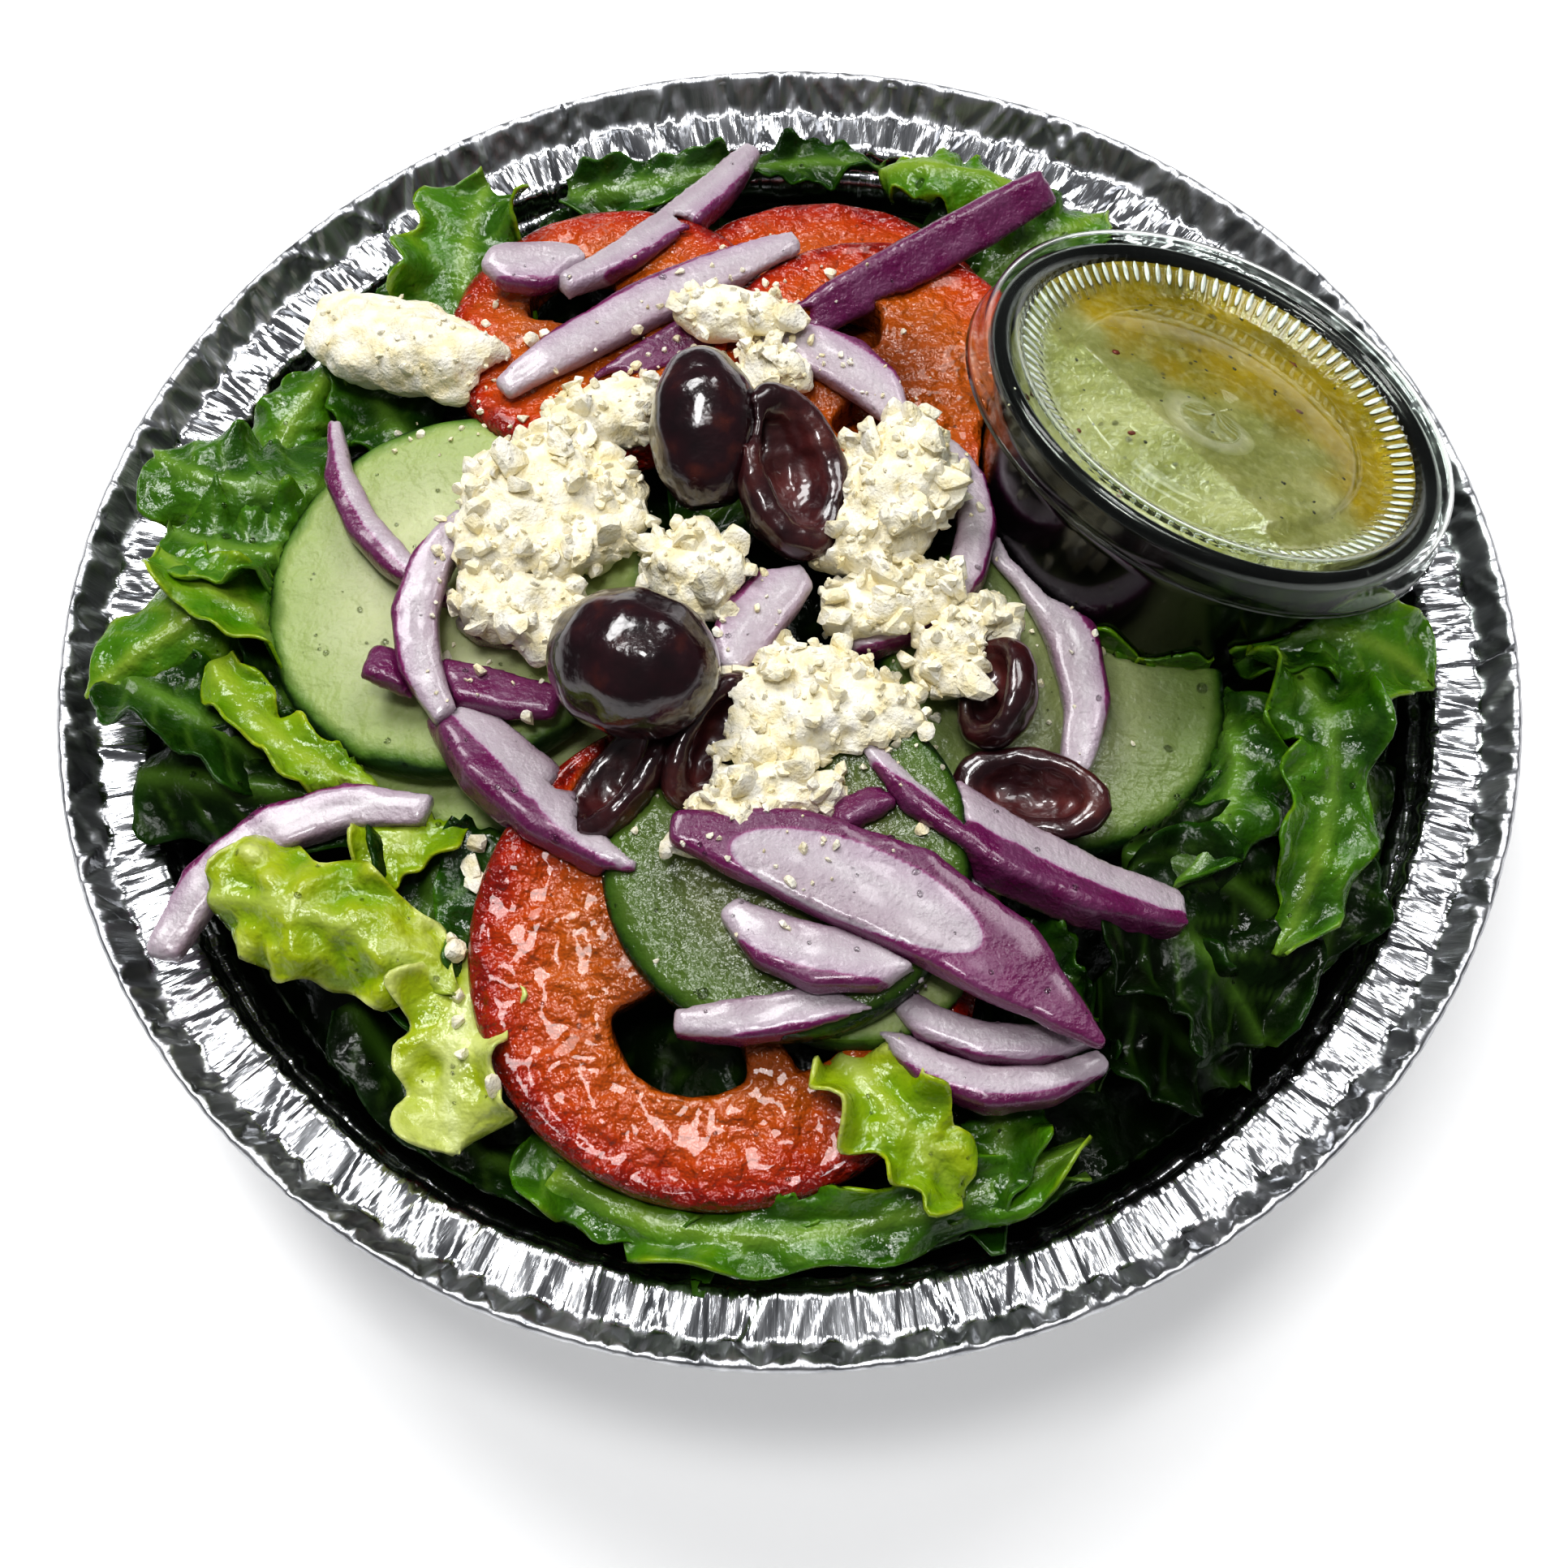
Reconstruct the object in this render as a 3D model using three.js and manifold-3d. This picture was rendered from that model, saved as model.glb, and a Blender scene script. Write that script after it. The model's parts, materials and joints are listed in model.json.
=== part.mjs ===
// A takeaway greek salad: a round foil pan heaped with lettuce and dressed with tomato and cucumber
// slices, red onion strips, pitted olives and crumbled feta, and a lidded cup of dressing set in its edge.
// Millimetres, +Z up, origin under the middle of the pan on the surface that it stands on.
import * as THREE from "three";
import { mergeVertices } from "three/addons/utils/BufferGeometryUtils.js";
import Module from "manifold-3d";

const wasm = await Module();
wasm.setup();

// ---- Driving dimensions ----
const PAN_RADIUS = 94; // over the rolled rim
const PAN_HEIGHT = 46;
const LEDGE_Z = 41.4; // the flat ledge that a card lid would rest on
const LEDGE_INNER = 83.2;
const LEDGE_OUTER = 90.2;
const FLOOR_RADIUS = 72;
const FOIL = 0.6; // wall of the model; folded foil is thinner
const PAN_SIDES = 36;

const BED_CENTRE_Z = 50.5; // top of the lettuce in the middle
const BED_DROP = 9; // how much lower it lies by the wall
const BED_SIDES = 24;

const SLICE_SIDES = 20;
const TOMATO_THICK = 6.5;
const CUCUMBER_THICK = 4.5;

const CUP_RIM = 31;
const CUP_DEPTH = 31.5;
const CUP_WALL = 0.8;
const LID_WALL = 0.5;
const CUP_SIDES = 22;
const DRESSING_LEVEL = 68; // height of the liquid's level surface over the table

const GAP = 0.35; // kept between neighbouring pieces
const OLIVE_SIDES = 10;
const OLIVE_RINGS = 6;
const STRIP_DEPTH = 0.86; // share of its stated height that a strip of onion keeps, with its edges worn round

const COLOURS = {
  foil: 0xc9ccd0,
  lettuce: 0x3f7a1c,
  tomato: 0xc8371a,
  cucumber: 0xb9cf8c,
  onion: 0xc9a9c4,
  onion_skin: 0x7c1d62,
  olive: 0x2e1016,
  feta: 0xf0ebd2,
  cup: 0x0b0b0c,
  lid: 0xe8ece8,
  dressing: 0xa9a455,
};

const rad = THREE.MathUtils.degToRad;
const clamp01 = (x) => Math.min(1, Math.max(0, x));

// 1 at the middle of a bump, falling smoothly to 0 at its half width
const bump = (offset, halfWidth) => {
  const t = clamp01(1 - Math.abs(offset) / halfWidth);
  return t * t * (3 - 2 * t);
};

// ---- From geometry to solids and back ----

// A closed three.js geometry as a solid, its shared vertices merged and its faces pointing out.
function solidOf(geometry, matrix = new THREE.Matrix4()) {
  const plain = geometry.clone();
  plain.deleteAttribute("normal");
  plain.deleteAttribute("uv");
  const merged = mergeVertices(plain.applyMatrix4(matrix), 1e-3);
  const triVerts = new Uint32Array(merged.index.array);
  const vertProperties = merged.attributes.position.array;
  const made = new wasm.Manifold(new wasm.Mesh({ numProp: 3, vertProperties, triVerts }));
  if (made.volume() > 0) return made;
  for (let i = 0; i < triVerts.length; i += 3) {
    [triVerts[i + 1], triVerts[i + 2]] = [triVerts[i + 2], triVerts[i + 1]];
  }
  return new wasm.Manifold(new wasm.Mesh({ numProp: 3, vertProperties, triVerts }));
}

function geometryOf(solid) {
  const { vertProperties, triVerts } = solid.getMesh();
  const geometry = new THREE.BufferGeometry();
  geometry.setAttribute("position", new THREE.BufferAttribute(new Float32Array(vertProperties), 3));
  geometry.setIndex(new THREE.BufferAttribute(new Uint32Array(triVerts), 1));
  return geometry;
}

const largest = (solid) =>
  solid.decompose().reduce((best, body) => (body.volume() > best.volume() ? body : best));

// ---- Turned shapes ----

// A profile of [radius, height] pairs turned round +Z.
function turned(profile, sides) {
  const points = profile.map(([r, z]) => new THREE.Vector2(Math.max(0, r), z));
  return new THREE.LatheGeometry(points, sides).rotateX(Math.PI / 2);
}

// The closed profile of a thin shell whose middle line starts on the axis.
function shellProfile(line, thickness) {
  const side = (sign) =>
    line.map(([r, z], i) => {
      const [r0, z0] = line[Math.max(0, i - 1)];
      const [r1, z1] = line[Math.min(line.length - 1, i + 1)];
      const along = Math.hypot(r1 - r0, z1 - z0);
      const out = (sign * thickness) / 2;
      return i === 0 ? [0, z + out] : [r - ((z1 - z0) / along) * out, z + ((r1 - r0) / along) * out];
    });
  return [...side(-1), ...side(1).reverse()];
}

// ---- The foil pan ----
const PAN_LINE = [
  [0, 1.3],
  [FLOOR_RADIUS - 14, 1.3],
  [FLOOR_RADIUS - 12, FOIL / 2],
  [FLOOR_RADIUS - 1, FOIL / 2],
  [FLOOR_RADIUS + 1.4, 1.4],
  [LEDGE_INNER - 3, LEDGE_Z - 5], // the tapered wall
  [LEDGE_INNER - 0.7, LEDGE_Z - 3.6], // the stacking shoulder
  [LEDGE_INNER, LEDGE_Z - 0.4],
  [LEDGE_INNER + 0.9, LEDGE_Z],
  [LEDGE_OUTER, LEDGE_Z - 0.2],
  [PAN_RADIUS - 0.7, PAN_HEIGHT - 0.5], // the flared flange
  [PAN_RADIUS + 0.1, PAN_HEIGHT - 1], // the rolled rim
  [PAN_RADIUS - 0.2, PAN_HEIGHT - 1.8],
];

const foilPan = (grow) => turned(shellProfile(PAN_LINE, FOIL + 2 * grow), PAN_SIDES);

// ---- The lettuce heap ----

// Directions, in degrees round from +X, where leaves lie out over the ledge, and where the heap falls away
// and leaves the pan's wall bare.
const OVERHANGS = [
  { at: 163, wide: 15, reach: 9 },
  { at: 187, wide: 16, reach: 9.5 },
  { at: 128, wide: 12, reach: 5 },
  { at: 0, wide: 14, reach: 3 },
];
const HOLLOWS = [
  { at: 317, wide: 24, deep: 17 },
  { at: 229, wide: 17, deep: 12 },
];
const LEAFY = [
  { at: 127, wide: 16, rise: 5 },
  { at: 175, wide: 30, rise: 4 },
  { at: 345, wide: 30, rise: 8 },
  { at: 270, wide: 22, rise: 3 },
  { at: 62, wide: 20, rise: 4 },
];

const turnFrom = (degrees, at) => ((degrees - at + 540) % 360) - 180;
const summed = (list, degrees, size) =>
  list.reduce((sum, spot) => sum + spot[size] * bump(turnFrom(degrees, spot.at), spot.wide), 0);

function bedTop(r, degrees) {
  const out = clamp01(r / 80);
  const ripple = Math.sin(rad(degrees * 7) + r * 0.16) + 0.7 * Math.sin(rad(degrees * 11 + 40) - r * 0.23);
  const rim = bump(r - 68, 24);
  return (
    BED_CENTRE_Z -
    BED_DROP * out ** 2 +
    0.9 * ripple * clamp01(r / 20) +
    rim * (summed(LEAFY, degrees, "rise") - summed(HOLLOWS, degrees, "deep"))
  );
}

function lettuceBed(grow) {
  const wallLow = [FLOOR_RADIUS - 0.6, 2.2];
  const wallHigh = [LEDGE_INNER - 4.2, LEDGE_Z - 9];
  const topRings = 5;
  const profile = [[0, 2.2], wallLow, wallHigh];
  for (let k = topRings; k >= 0; k--) profile.push([(wallHigh[0] * k) / topRings, LEDGE_Z + topRings - k]);
  const geometry = turned(profile, BED_SIDES);
  const place = geometry.attributes.position;
  for (let i = 0; i < place.count; i++) {
    const [x, y, z] = [place.getX(i), place.getY(i), place.getZ(i)];
    if (z < LEDGE_Z - 0.5) continue;
    const degrees = (THREE.MathUtils.radToDeg(Math.atan2(y, x)) + 360) % 360;
    const share = Math.hypot(x, y) / wallHigh[0];
    const reach = summed(OVERHANGS, degrees, "reach");
    const r = share * wallHigh[0] + reach * clamp01((share - 0.6) / 0.4);
    const edge = share > 0.99 ? LEDGE_Z + 0.9 - LEDGE_Z * (reach < 1 ? 0.08 : 0) : bedTop(r, degrees);
    const turn = Math.atan2(y, x);
    place.setXYZ(i, r * Math.cos(turn), r * Math.sin(turn), Math.min(edge, bedTop(r, degrees) + 1) + grow);
  }
  return geometry;
}

// ---- Slices ----

// A round slice with softly rounded edges.
function slice(radius, thick, grow) {
  const [r, h] = [radius + grow, thick / 2 + grow];
  return turned(
    [
      [0, -h],
      [r - 0.9, -h],
      [r, 0],
      [r - 0.9, h],
      [0, h],
    ],
    SLICE_SIDES,
  );
}

const cucumberSlice = ({ radius }) => (grow) => slice(radius, CUCUMBER_THICK, grow);

// One empty seed chamber, a kidney between two angles and two radii, as a plug to cut with.
function chamber({ from, to, inner, outer }, thick, grow) {
  const steps = 6;
  const points = [];
  for (let i = 0; i <= steps; i++) {
    const a = rad(from + ((to - from) * i) / steps);
    const r = outer - grow - 1.6 * (1 - bump(i - steps / 2, steps / 2 + 1)) * 2;
    points.push(new THREE.Vector2(r * Math.cos(a), r * Math.sin(a)));
  }
  for (let i = steps; i >= 0; i -= 2) {
    const a = rad(from + ((to - from) * i) / steps);
    points.push(new THREE.Vector2((inner + grow) * Math.cos(a), (inner + grow) * Math.sin(a)));
  }
  const plug = { depth: 3 * thick, bevelEnabled: false };
  return new THREE.ExtrudeGeometry(new THREE.Shape(points), plug).translate(0, 0, -1.5 * thick);
}

const tomatoSlice = ({ radius, chambers }) => (grow) =>
  geometryOf(
    chambers.reduce(
      (body, hole) => body.subtract(solidOf(chamber(hole, TOMATO_THICK, grow))),
      solidOf(slice(radius, TOMATO_THICK, grow)),
    ),
  );

// ---- Onion ----

// A strip of one onion layer, bent round the bulb: +X along it, +Y towards the skin, +Z across the slice.
// The two tapers are how far its -X and its +X end narrow.
function onionStrip({ length, width, height, sweep, tapers }) {
  return (grow) => {
    const long = length + 2 * grow;
    const geometry = new THREE.BoxGeometry(long, width, height, 4, 1, 1);
    const place = geometry.attributes.position;
    const bulb = length / rad(sweep);
    for (let i = 0; i < place.count; i++) {
      const [s, across, up] = [place.getX(i), place.getY(i), place.getZ(i)];
      const end = ((2 * Math.abs(s)) / long) ** 2.4;
      const taper = tapers[s > 0 ? 1 : 0];
      const slim = 1 - taper * end;
      const y = (across * slim * (width + 2 * grow)) / width;
      const z = (up * STRIP_DEPTH * (1 - 0.45 * taper * end) * (height + 2 * grow)) / height;
      const turn = s / bulb;
      place.setXYZ(i, (bulb + y) * Math.sin(turn), (bulb + y) * Math.cos(turn) - bulb, z);
    }
    return geometry;
  };
}

// ---- Olives ----

// A pitted olive along +X, with the pit's hole open at its +X end.
function wholeOlive({ length, girth }) {
  return (grow) => {
    const flesh = new THREE.SphereGeometry(1, OLIVE_SIDES, OLIVE_RINGS).rotateZ(-Math.PI / 2);
    flesh.scale(length / 2 + grow, girth / 2 + grow, girth / 2 + grow);
    const bore = new THREE.CylinderGeometry(girth * 0.14, girth * 0.1, length * 0.5, 8).rotateZ(-Math.PI / 2);
    bore.translate(length * 0.42, 0, 0);
    return grow ? flesh : geometryOf(solidOf(flesh).subtract(solidOf(bore)));
  };
}

// Half an olive torn open, with the pit's bed scooped out of its +Z side.
function tornOlive({ length, girth, shut = 0 }) {
  return (grow) => {
    const flesh = new THREE.SphereGeometry(1, OLIVE_SIDES, OLIVE_RINGS).rotateZ(-Math.PI / 2);
    flesh.scale(length / 2 + grow, girth / 2 + grow, girth / 2 + grow);
    const above = new THREE.BoxGeometry(2 * length, 2 * girth, girth);
    above.translate(0, 0, girth * (0.5 + shut) + grow);
    const pit = new THREE.SphereGeometry(1, OLIVE_SIDES, OLIVE_RINGS).rotateZ(-Math.PI / 2);
    pit.scale(length * 0.36, girth * 0.3, girth * 0.36).translate(0, 0, girth * shut);
    const half = solidOf(flesh).subtract(solidOf(above));
    return geometryOf(grow ? half : half.subtract(solidOf(pit)));
  };
}

// ---- Feta ----

// A lump of crumbled cheese with an uneven face, unlike its neighbours by its seed.
function fetaLump({ size: [x, y, z], seed, square = 0 }) {
  return (grow) => {
    const geometry = new THREE.IcosahedronGeometry(1, 1);
    const place = geometry.attributes.position;
    for (let i = 0; i < place.count; i++) {
      const v = new THREE.Vector3().fromBufferAttribute(place, i).normalize();
      const blunt = 1 / Math.max(Math.abs(v.x), Math.abs(v.y), Math.abs(v.z));
      const broad = Math.sin(3.7 * v.x + seed) * Math.sin(4.3 * v.y + 2 * seed);
      const knobs = broad + 0.6 * Math.sin(5.9 * v.z + 3.1 * v.x + seed);
      const r = (1 + 0.14 * knobs) * THREE.MathUtils.lerp(1, 0.8 * blunt, square);
      place.setXYZ(i, (v.x * r * x) / 2, (v.y * r * y) / 2, (v.z * r * z) / 2);
    }
    return geometry.scale(1 + (2 * grow) / x, 1 + (2 * grow) / y, 1 + (2 * grow) / z);
  };
}

// ---- The cup of dressing: +Z up its axis, its rim at height 0 ----
const CUP_LINE = [
  [0, -CUP_DEPTH],
  [CUP_RIM - 10, -CUP_DEPTH],
  [CUP_RIM - 8.7, 1 - CUP_DEPTH],
  [CUP_RIM - 2.4, -2.2],
  [CUP_RIM - 2, -0.6],
  [CUP_RIM - 0.8, -0.2],
  [CUP_RIM, -0.9],
  [CUP_RIM, -2],
];
const LID_LINE = [
  [0, -1.6],
  [CUP_RIM - 13.4, -1.6],
  [CUP_RIM - 12.4, -2.6],
  [CUP_RIM - 5.2, -2.6],
  [CUP_RIM - 3.4, -1.4],
  [CUP_RIM - 2.6, 1.2],
  [CUP_RIM + 0.8, 1.4],
  [CUP_RIM + 1.7, -2.6],
  [CUP_RIM + 2.2, -4.6],
];
const dressingCup = (grow) => turned(shellProfile(CUP_LINE, CUP_WALL + 2 * grow), CUP_SIDES);
const cupLid = (grow) => turned(shellProfile(LID_LINE, LID_WALL + 2 * grow), CUP_SIDES);

// The dressing fills the cup to a surface that stays level while the cup leans.
function dressing(cupMatrix) {
  const inset = CUP_WALL / 2 + GAP;
  const room = turned(
    [
      [0, inset - CUP_DEPTH],
      [CUP_RIM - 10 - inset, inset - CUP_DEPTH],
      [CUP_RIM - 9.3 - inset, 1.6 - CUP_DEPTH],
      [CUP_RIM - 2.75 - inset, -3.25],
      [0, -3.25],
    ],
    CUP_SIDES,
  );
  const air = new THREE.BoxGeometry(4 * CUP_RIM, 4 * CUP_RIM, 2 * CUP_DEPTH);
  air.translate(0, 0, CUP_DEPTH).applyMatrix4(new THREE.Matrix4().makeTranslation(55, 25, DRESSING_LEVEL));
  return () => geometryOf(solidOf(room).subtract(solidOf(air, cupMatrix.clone().invert())));
}

// ---- Places ----

// Turned by `lean` round its own length, then `pitch` up or down, then to its `heading` round +Z.
function pose({ at, heading = 0, lean = 0, pitch = 0 }) {
  const placed = new THREE.Object3D();
  placed.position.set(...at);
  placed.rotation.set(rad(lean), rad(-pitch), rad(heading), "ZYX");
  placed.updateMatrix();
  return placed;
}

// The lid's low side points this way, 26 degrees down.
const CUP_PLACE = { at: [55, 24.5, 66], heading: 40, pitch: -26.2 };

const OLIVES = [
  [
    "olive_whole_back",
    wholeOlive({ length: 21.5, girth: 14.4 }),
    { at: [-10.5, 18.7, 69], heading: -86, pitch: -24 },
  ],
  [
    "olive_whole_front",
    wholeOlive({ length: 22, girth: 19 }),
    { at: [-18.8, -14.4, 69.4], heading: 160, pitch: -12 },
  ],
  [
    "olive_torn_back",
    tornOlive({ length: 23.5, girth: 15.4, shut: 0.12 }),
    { at: [0.3, 13.6, 67.6], heading: -74, pitch: -16, lean: -22 },
  ],
  [
    "olive_torn_front_right",
    tornOlive({ length: 19, girth: 9.5, shut: 0.1 }),
    { at: [-9.4, -21.5, 62.4], heading: -118, pitch: -14, lean: -40 },
  ],
  [
    "olive_torn_front_left",
    tornOlive({ length: 19, girth: 10, shut: 0.1 }),
    { at: [-21, -25.4, 60.2], heading: -128, pitch: -14, lean: 30 },
  ],
  [
    "olive_torn_side_back",
    tornOlive({ length: 15, girth: 10.4, shut: 0.2 }),
    { at: [25.4, -14.2, 61], heading: -100, pitch: -8, lean: 40 },
  ],
  [
    "olive_torn_side_front",
    tornOlive({ length: 20, girth: 11.6, shut: 0.05 }),
    { at: [29.4, -26.6, 58.6], heading: -14, pitch: 2, lean: 12 },
  ],
];

const SLICES = [
  [
    "tomato_front",
    tomatoSlice({
      radius: 31,
      chambers: [
        { from: 138, to: 226, inner: 6.5, outer: 20 },
        { from: 32, to: 116, inner: 6.5, outer: 20 },
        { from: -62, to: 12, inner: 7.5, outer: 18.5 },
      ],
    }),
    { at: [-8, -45, 51.2], heading: -90, pitch: -12.5 },
    "tomato",
  ],
  [
    "tomato_back_left",
    tomatoSlice({ radius: 22, chambers: [{ from: -30, to: 50, inner: 4.5, outer: 14 }] }),
    { at: [-23.5, 42.6, 53.6], heading: 118, pitch: -9 },
    "tomato",
  ],
  [
    "tomato_back_right",
    tomatoSlice({
      radius: 22.5,
      chambers: [
        { from: 55, to: 125, inner: 4.5, outer: 13.5 },
        { from: -160, to: -80, inner: 4.5, outer: 13 },
      ],
    }),
    { at: [11.5, 34, 55.2], heading: 30, pitch: -5 },
    "tomato",
  ],
  [
    "tomato_back",
    tomatoSlice({ radius: 24.5, chambers: [{ from: 60, to: 150, inner: 5, outer: 15 }] }),
    { at: [4.5, 44, 48.8], heading: 85, pitch: -5 },
    "tomato",
  ],
  [
    "cucumber_left",
    cucumberSlice({ radius: 25.6 }),
    { at: [-42, 4.4, 52.6], heading: 190, pitch: -10 },
    "cucumber",
  ],
  [
    "cucumber_front",
    cucumberSlice({ radius: 22.5 }),
    { at: [-0.4, -35.4, 58.6], heading: -118, pitch: -11 },
    "cucumber",
  ],
  [
    "cucumber_right",
    cucumberSlice({ radius: 22.5 }),
    { at: [33, -9.4, 51.6], heading: -30, pitch: -9 },
    "cucumber",
  ],
  [
    "cucumber_left_low",
    cucumberSlice({ radius: 24 }),
    { at: [-36.5, -4, 47.8], heading: 215, pitch: -9 },
    "cucumber",
  ],
  [
    "cucumber_front_low",
    cucumberSlice({ radius: 21 }),
    { at: [4.6, -38.2, 54.2], heading: -100, pitch: -9 },
    "cucumber",
  ],
];

// Each strip: the middle of its arc, the heading of its chord with the skin to the left of it, then its length
// along the arc, the layer's width, the slice's height and the angle that it sweeps round the bulb.
const strip = (name, at, heading, [length, width, height, sweep], more = {}) => {
  const { taper = 0.45, point = taper, lean = 0, pitch = 0, colour = "onion" } = more;
  const shape = onionStrip({ length, width, height, sweep, tapers: [taper, point] });
  return [name, shape, { at, heading, lean, pitch }, colour];
};
const SKIN_UP = { lean: 70, colour: "onion_skin" };

const ONIONS = [
  strip("onion_front_big", [13.6, -42.4, 62.6], -27, [58, 12.5, 4.5, 42], {
    taper: 0.7,
    point: 0.94,
    pitch: -5,
  }),
  strip("onion_right_strip", [25.4, -35.3, 60], 152, [47, 8.5, 5.4, 60], { taper: 0.4, pitch: 12, lean: 24 }),
  strip("onion_front_mid", [3.6, -49.4, 61], 167, [26, 7.5, 4, 78], { taper: 0.6, pitch: -2 }),
  strip("onion_front_low", [1.3, -54.6, 57], -169, [30, 5.4, 4.6, 30], { pitch: -3 }),
  strip("onion_double_inner", [22.6, -57.6, 54.6], 167, [28, 4.6, 4.6, 76], { taper: 0.5 }),
  strip("onion_double_outer", [23.4, -62.8, 53], 172, [29, 4.6, 4.6, 92], { taper: 0.55 }),
  strip("onion_centre", [-4, -4.6, 63.6], 56, [17, 8, 3, 57], { taper: 0.6, pitch: -3 }),
  strip("onion_back_wide", [-18.9, 44.2, 59], 31, [45, 6.4, 3.6, 18], { taper: 0.5 }),
  strip("onion_back_long", [-15.4, 60.6, 54], -130, [40, 5, 4, 30], { taper: 0.5, pitch: 14 }),
  strip("onion_back_short", [-33.6, 50.6, 58.6], -178, [13.5, 7, 3.4, 60], { taper: 0.5, pitch: 2 }),
  strip("onion_back_flat", [-13.4, 38.6, 58], -146, [28, 2.8, 7.5, 14], { ...SKIN_UP, lean: 78 }),
  strip("onion_back_skin", [17.6, 52.2, 58.6], -147, [42, 3, 6.6, 12], { ...SKIN_UP, lean: 58, pitch: -1 }),
  strip("onion_ring_back", [7.6, 33.8, 60.8], -37, [24, 7.4, 3.2, 62], { taper: 0.7 }),
  strip("onion_ring_right", [23.8, 9.6, 59.4], -93, [27, 4.8, 5, 84]),
  strip("onion_ring_low", [13.2, -4.4, 58.6], -155, [15, 4.6, 4.4, 49]),
  strip("onion_right_long", [35.6, -4, 56.2], -72, [38, 6, 4, 78]),
  strip("onion_left_thin", [-54.6, 12.6, 55.6], 121, [36, 4, 4, 58], { taper: 0.6, pitch: -8 }),
  strip("onion_left_tail", [-34.5, -4.2, 57], 173, [15, 3.6, 4, 60]),
  strip("onion_left_arc", [-46.6, -2.6, 60], 87, [30, 5.6, 4.4, 84], { pitch: 3 }),
  strip("onion_left_skin", [-40.4, -11.8, 58], -15, [25, 3, 6.4, 18], { ...SKIN_UP, lean: -104, pitch: 2 }),
  strip("onion_big_left", [-29.4, -28.4, 57.6], 144, [38, 8.4, 5, 52], { taper: 0.35, lean: 14 }),
  strip("onion_right_under", [9.4, -30.4, 62.6], 26, [14, 3, 4.6, 12], { ...SKIN_UP }),
  strip("onion_right_small", [19.4, -38.4, 57.6], -134, [14, 6, 3, 16]),
  strip("onion_left_rim", [-64.4, -28.2, 50.6], 29, [41, 6, 4, 92], { taper: 0.35, pitch: 6 }),
];

const feta = (name, at, heading, size, seed, more = {}) => [
  name,
  fetaLump({ size, seed, square: more.square ?? 0 }),
  { at, heading, pitch: more.pitch ?? 0 },
];
const FETA = [
  feta("feta_block", [-50.8, 40.2, 55], -24, [32, 14, 10], 1.1, { square: 0.5, pitch: 10 }),
  feta("feta_back", [-6.8, 40.6, 62], -8, [17, 8, 6.5], 2.3, { square: 0.4 }),
  feta("feta_back_low", [-2, 32, 61.4], -18, [11, 8, 6.5], 3.2),
  feta("feta_back_left", [-23.4, 25.6, 61.4], 20, [17, 9, 8], 3.9),
  feta("feta_left", [-31, 11.4, 62], 18, [25, 22, 11], 4.7),
  feta("feta_left_low", [-33.5, -1.6, 61], -20, [17, 13, 8], 5.9),
  feta("feta_centre", [-11.4, 1.6, 63.4], -30, [15, 12, 9], 6.4),
  feta("feta_right", [12.6, 12, 63.4], 60, [26, 16, 11], 7.5),
  feta("feta_ring", [13, -1.6, 61.6], 12, [20, 9, 7], 5.2),
  feta("feta_front", [3.4, -17.6, 62.4], -10, [27, 17, 11], 8.8),
  feta("feta_side", [21.6, -7.4, 60], 50, [17, 13, 8.5], 9.6),
  feta("feta_tip", [-4.6, -31.2, 62.4], 22, [23, 10, 8], 10.3, { square: 0.3 }),
];

// ---- Putting it together ----

// In this order: each piece gives way to those before it, as soft food does.
const cupPose = pose(CUP_PLACE);
const PIECES = [
  { name: "foil_pan", shape: foilPan, place: pose({ at: [0, 0, 0] }), colour: "foil" },
  { name: "dressing_cup", shape: dressingCup, place: cupPose, colour: "cup" },
  { name: "cup_lid", shape: cupLid, place: cupPose, colour: "lid" },
  { name: "dressing", shape: dressing(cupPose.matrix), place: cupPose, colour: "dressing" },
  ...OLIVES.map(([name, shape, at]) => ({ name, shape, place: pose(at), colour: "olive" })),
  ...[...SLICES, ...ONIONS].map(([name, shape, at, colour]) => ({ name, shape, place: pose(at), colour })),
  ...FETA.map(([name, shape, at]) => ({ name, shape, place: pose(at), colour: "feta" })),
  { name: "lettuce_bed", shape: lettuceBed, place: pose({ at: [0, 0, 0] }), colour: "lettuce" },
];

// The cup and its lid as one full block with the gap round it, which no food reaches into.
const cupBlock = turned(
  [
    [0, -CUP_DEPTH - 0.8],
    [CUP_RIM - 8, -CUP_DEPTH - 0.8],
    [CUP_RIM - 2.2, -5.2],
    [CUP_RIM + 3.1, -5.2],
    [CUP_RIM + 1.3, 2],
    [0, 2],
  ],
  CUP_SIDES,
);

const salad = new THREE.Group();
const keepClear = [solidOf(cupBlock, cupPose.matrix)];
const touches = (a, b) => {
  const [p, q] = [a.boundingBox(), b.boundingBox()];
  return [0, 1, 2].every((k) => p.min[k] < q.max[k] && q.min[k] < p.max[k]);
};
const belongsToCup = new Set(["dressing_cup", "cup_lid", "dressing"]);

for (const { name, shape, place, colour } of PIECES) {
  let body = solidOf(shape(0), place.matrix);
  if (!belongsToCup.has(name) && name !== "foil_pan") {
    for (const other of keepClear) if (touches(body, other)) body = body.subtract(other);
    body = largest(body);
  }
  if (!belongsToCup.has(name)) keepClear.push(solidOf(shape(GAP), place.matrix));
  const material = new THREE.MeshStandardMaterial({
    color: COLOURS[colour],
    roughness: colour === "feta" ? 0.8 : 0.3,
    metalness: colour === "foil" ? 1 : 0,
  });
  const mesh = new THREE.Mesh(geometryOf(body).applyMatrix4(place.matrix.clone().invert()), material);
  mesh.name = name;
  mesh.position.copy(place.position);
  mesh.rotation.copy(place.rotation);
  salad.add(mesh);
}

export default salad;
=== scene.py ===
"""A greek salad in a round foil pan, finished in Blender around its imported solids. Metres, +Z up."""

import json
import math
import random

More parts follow.
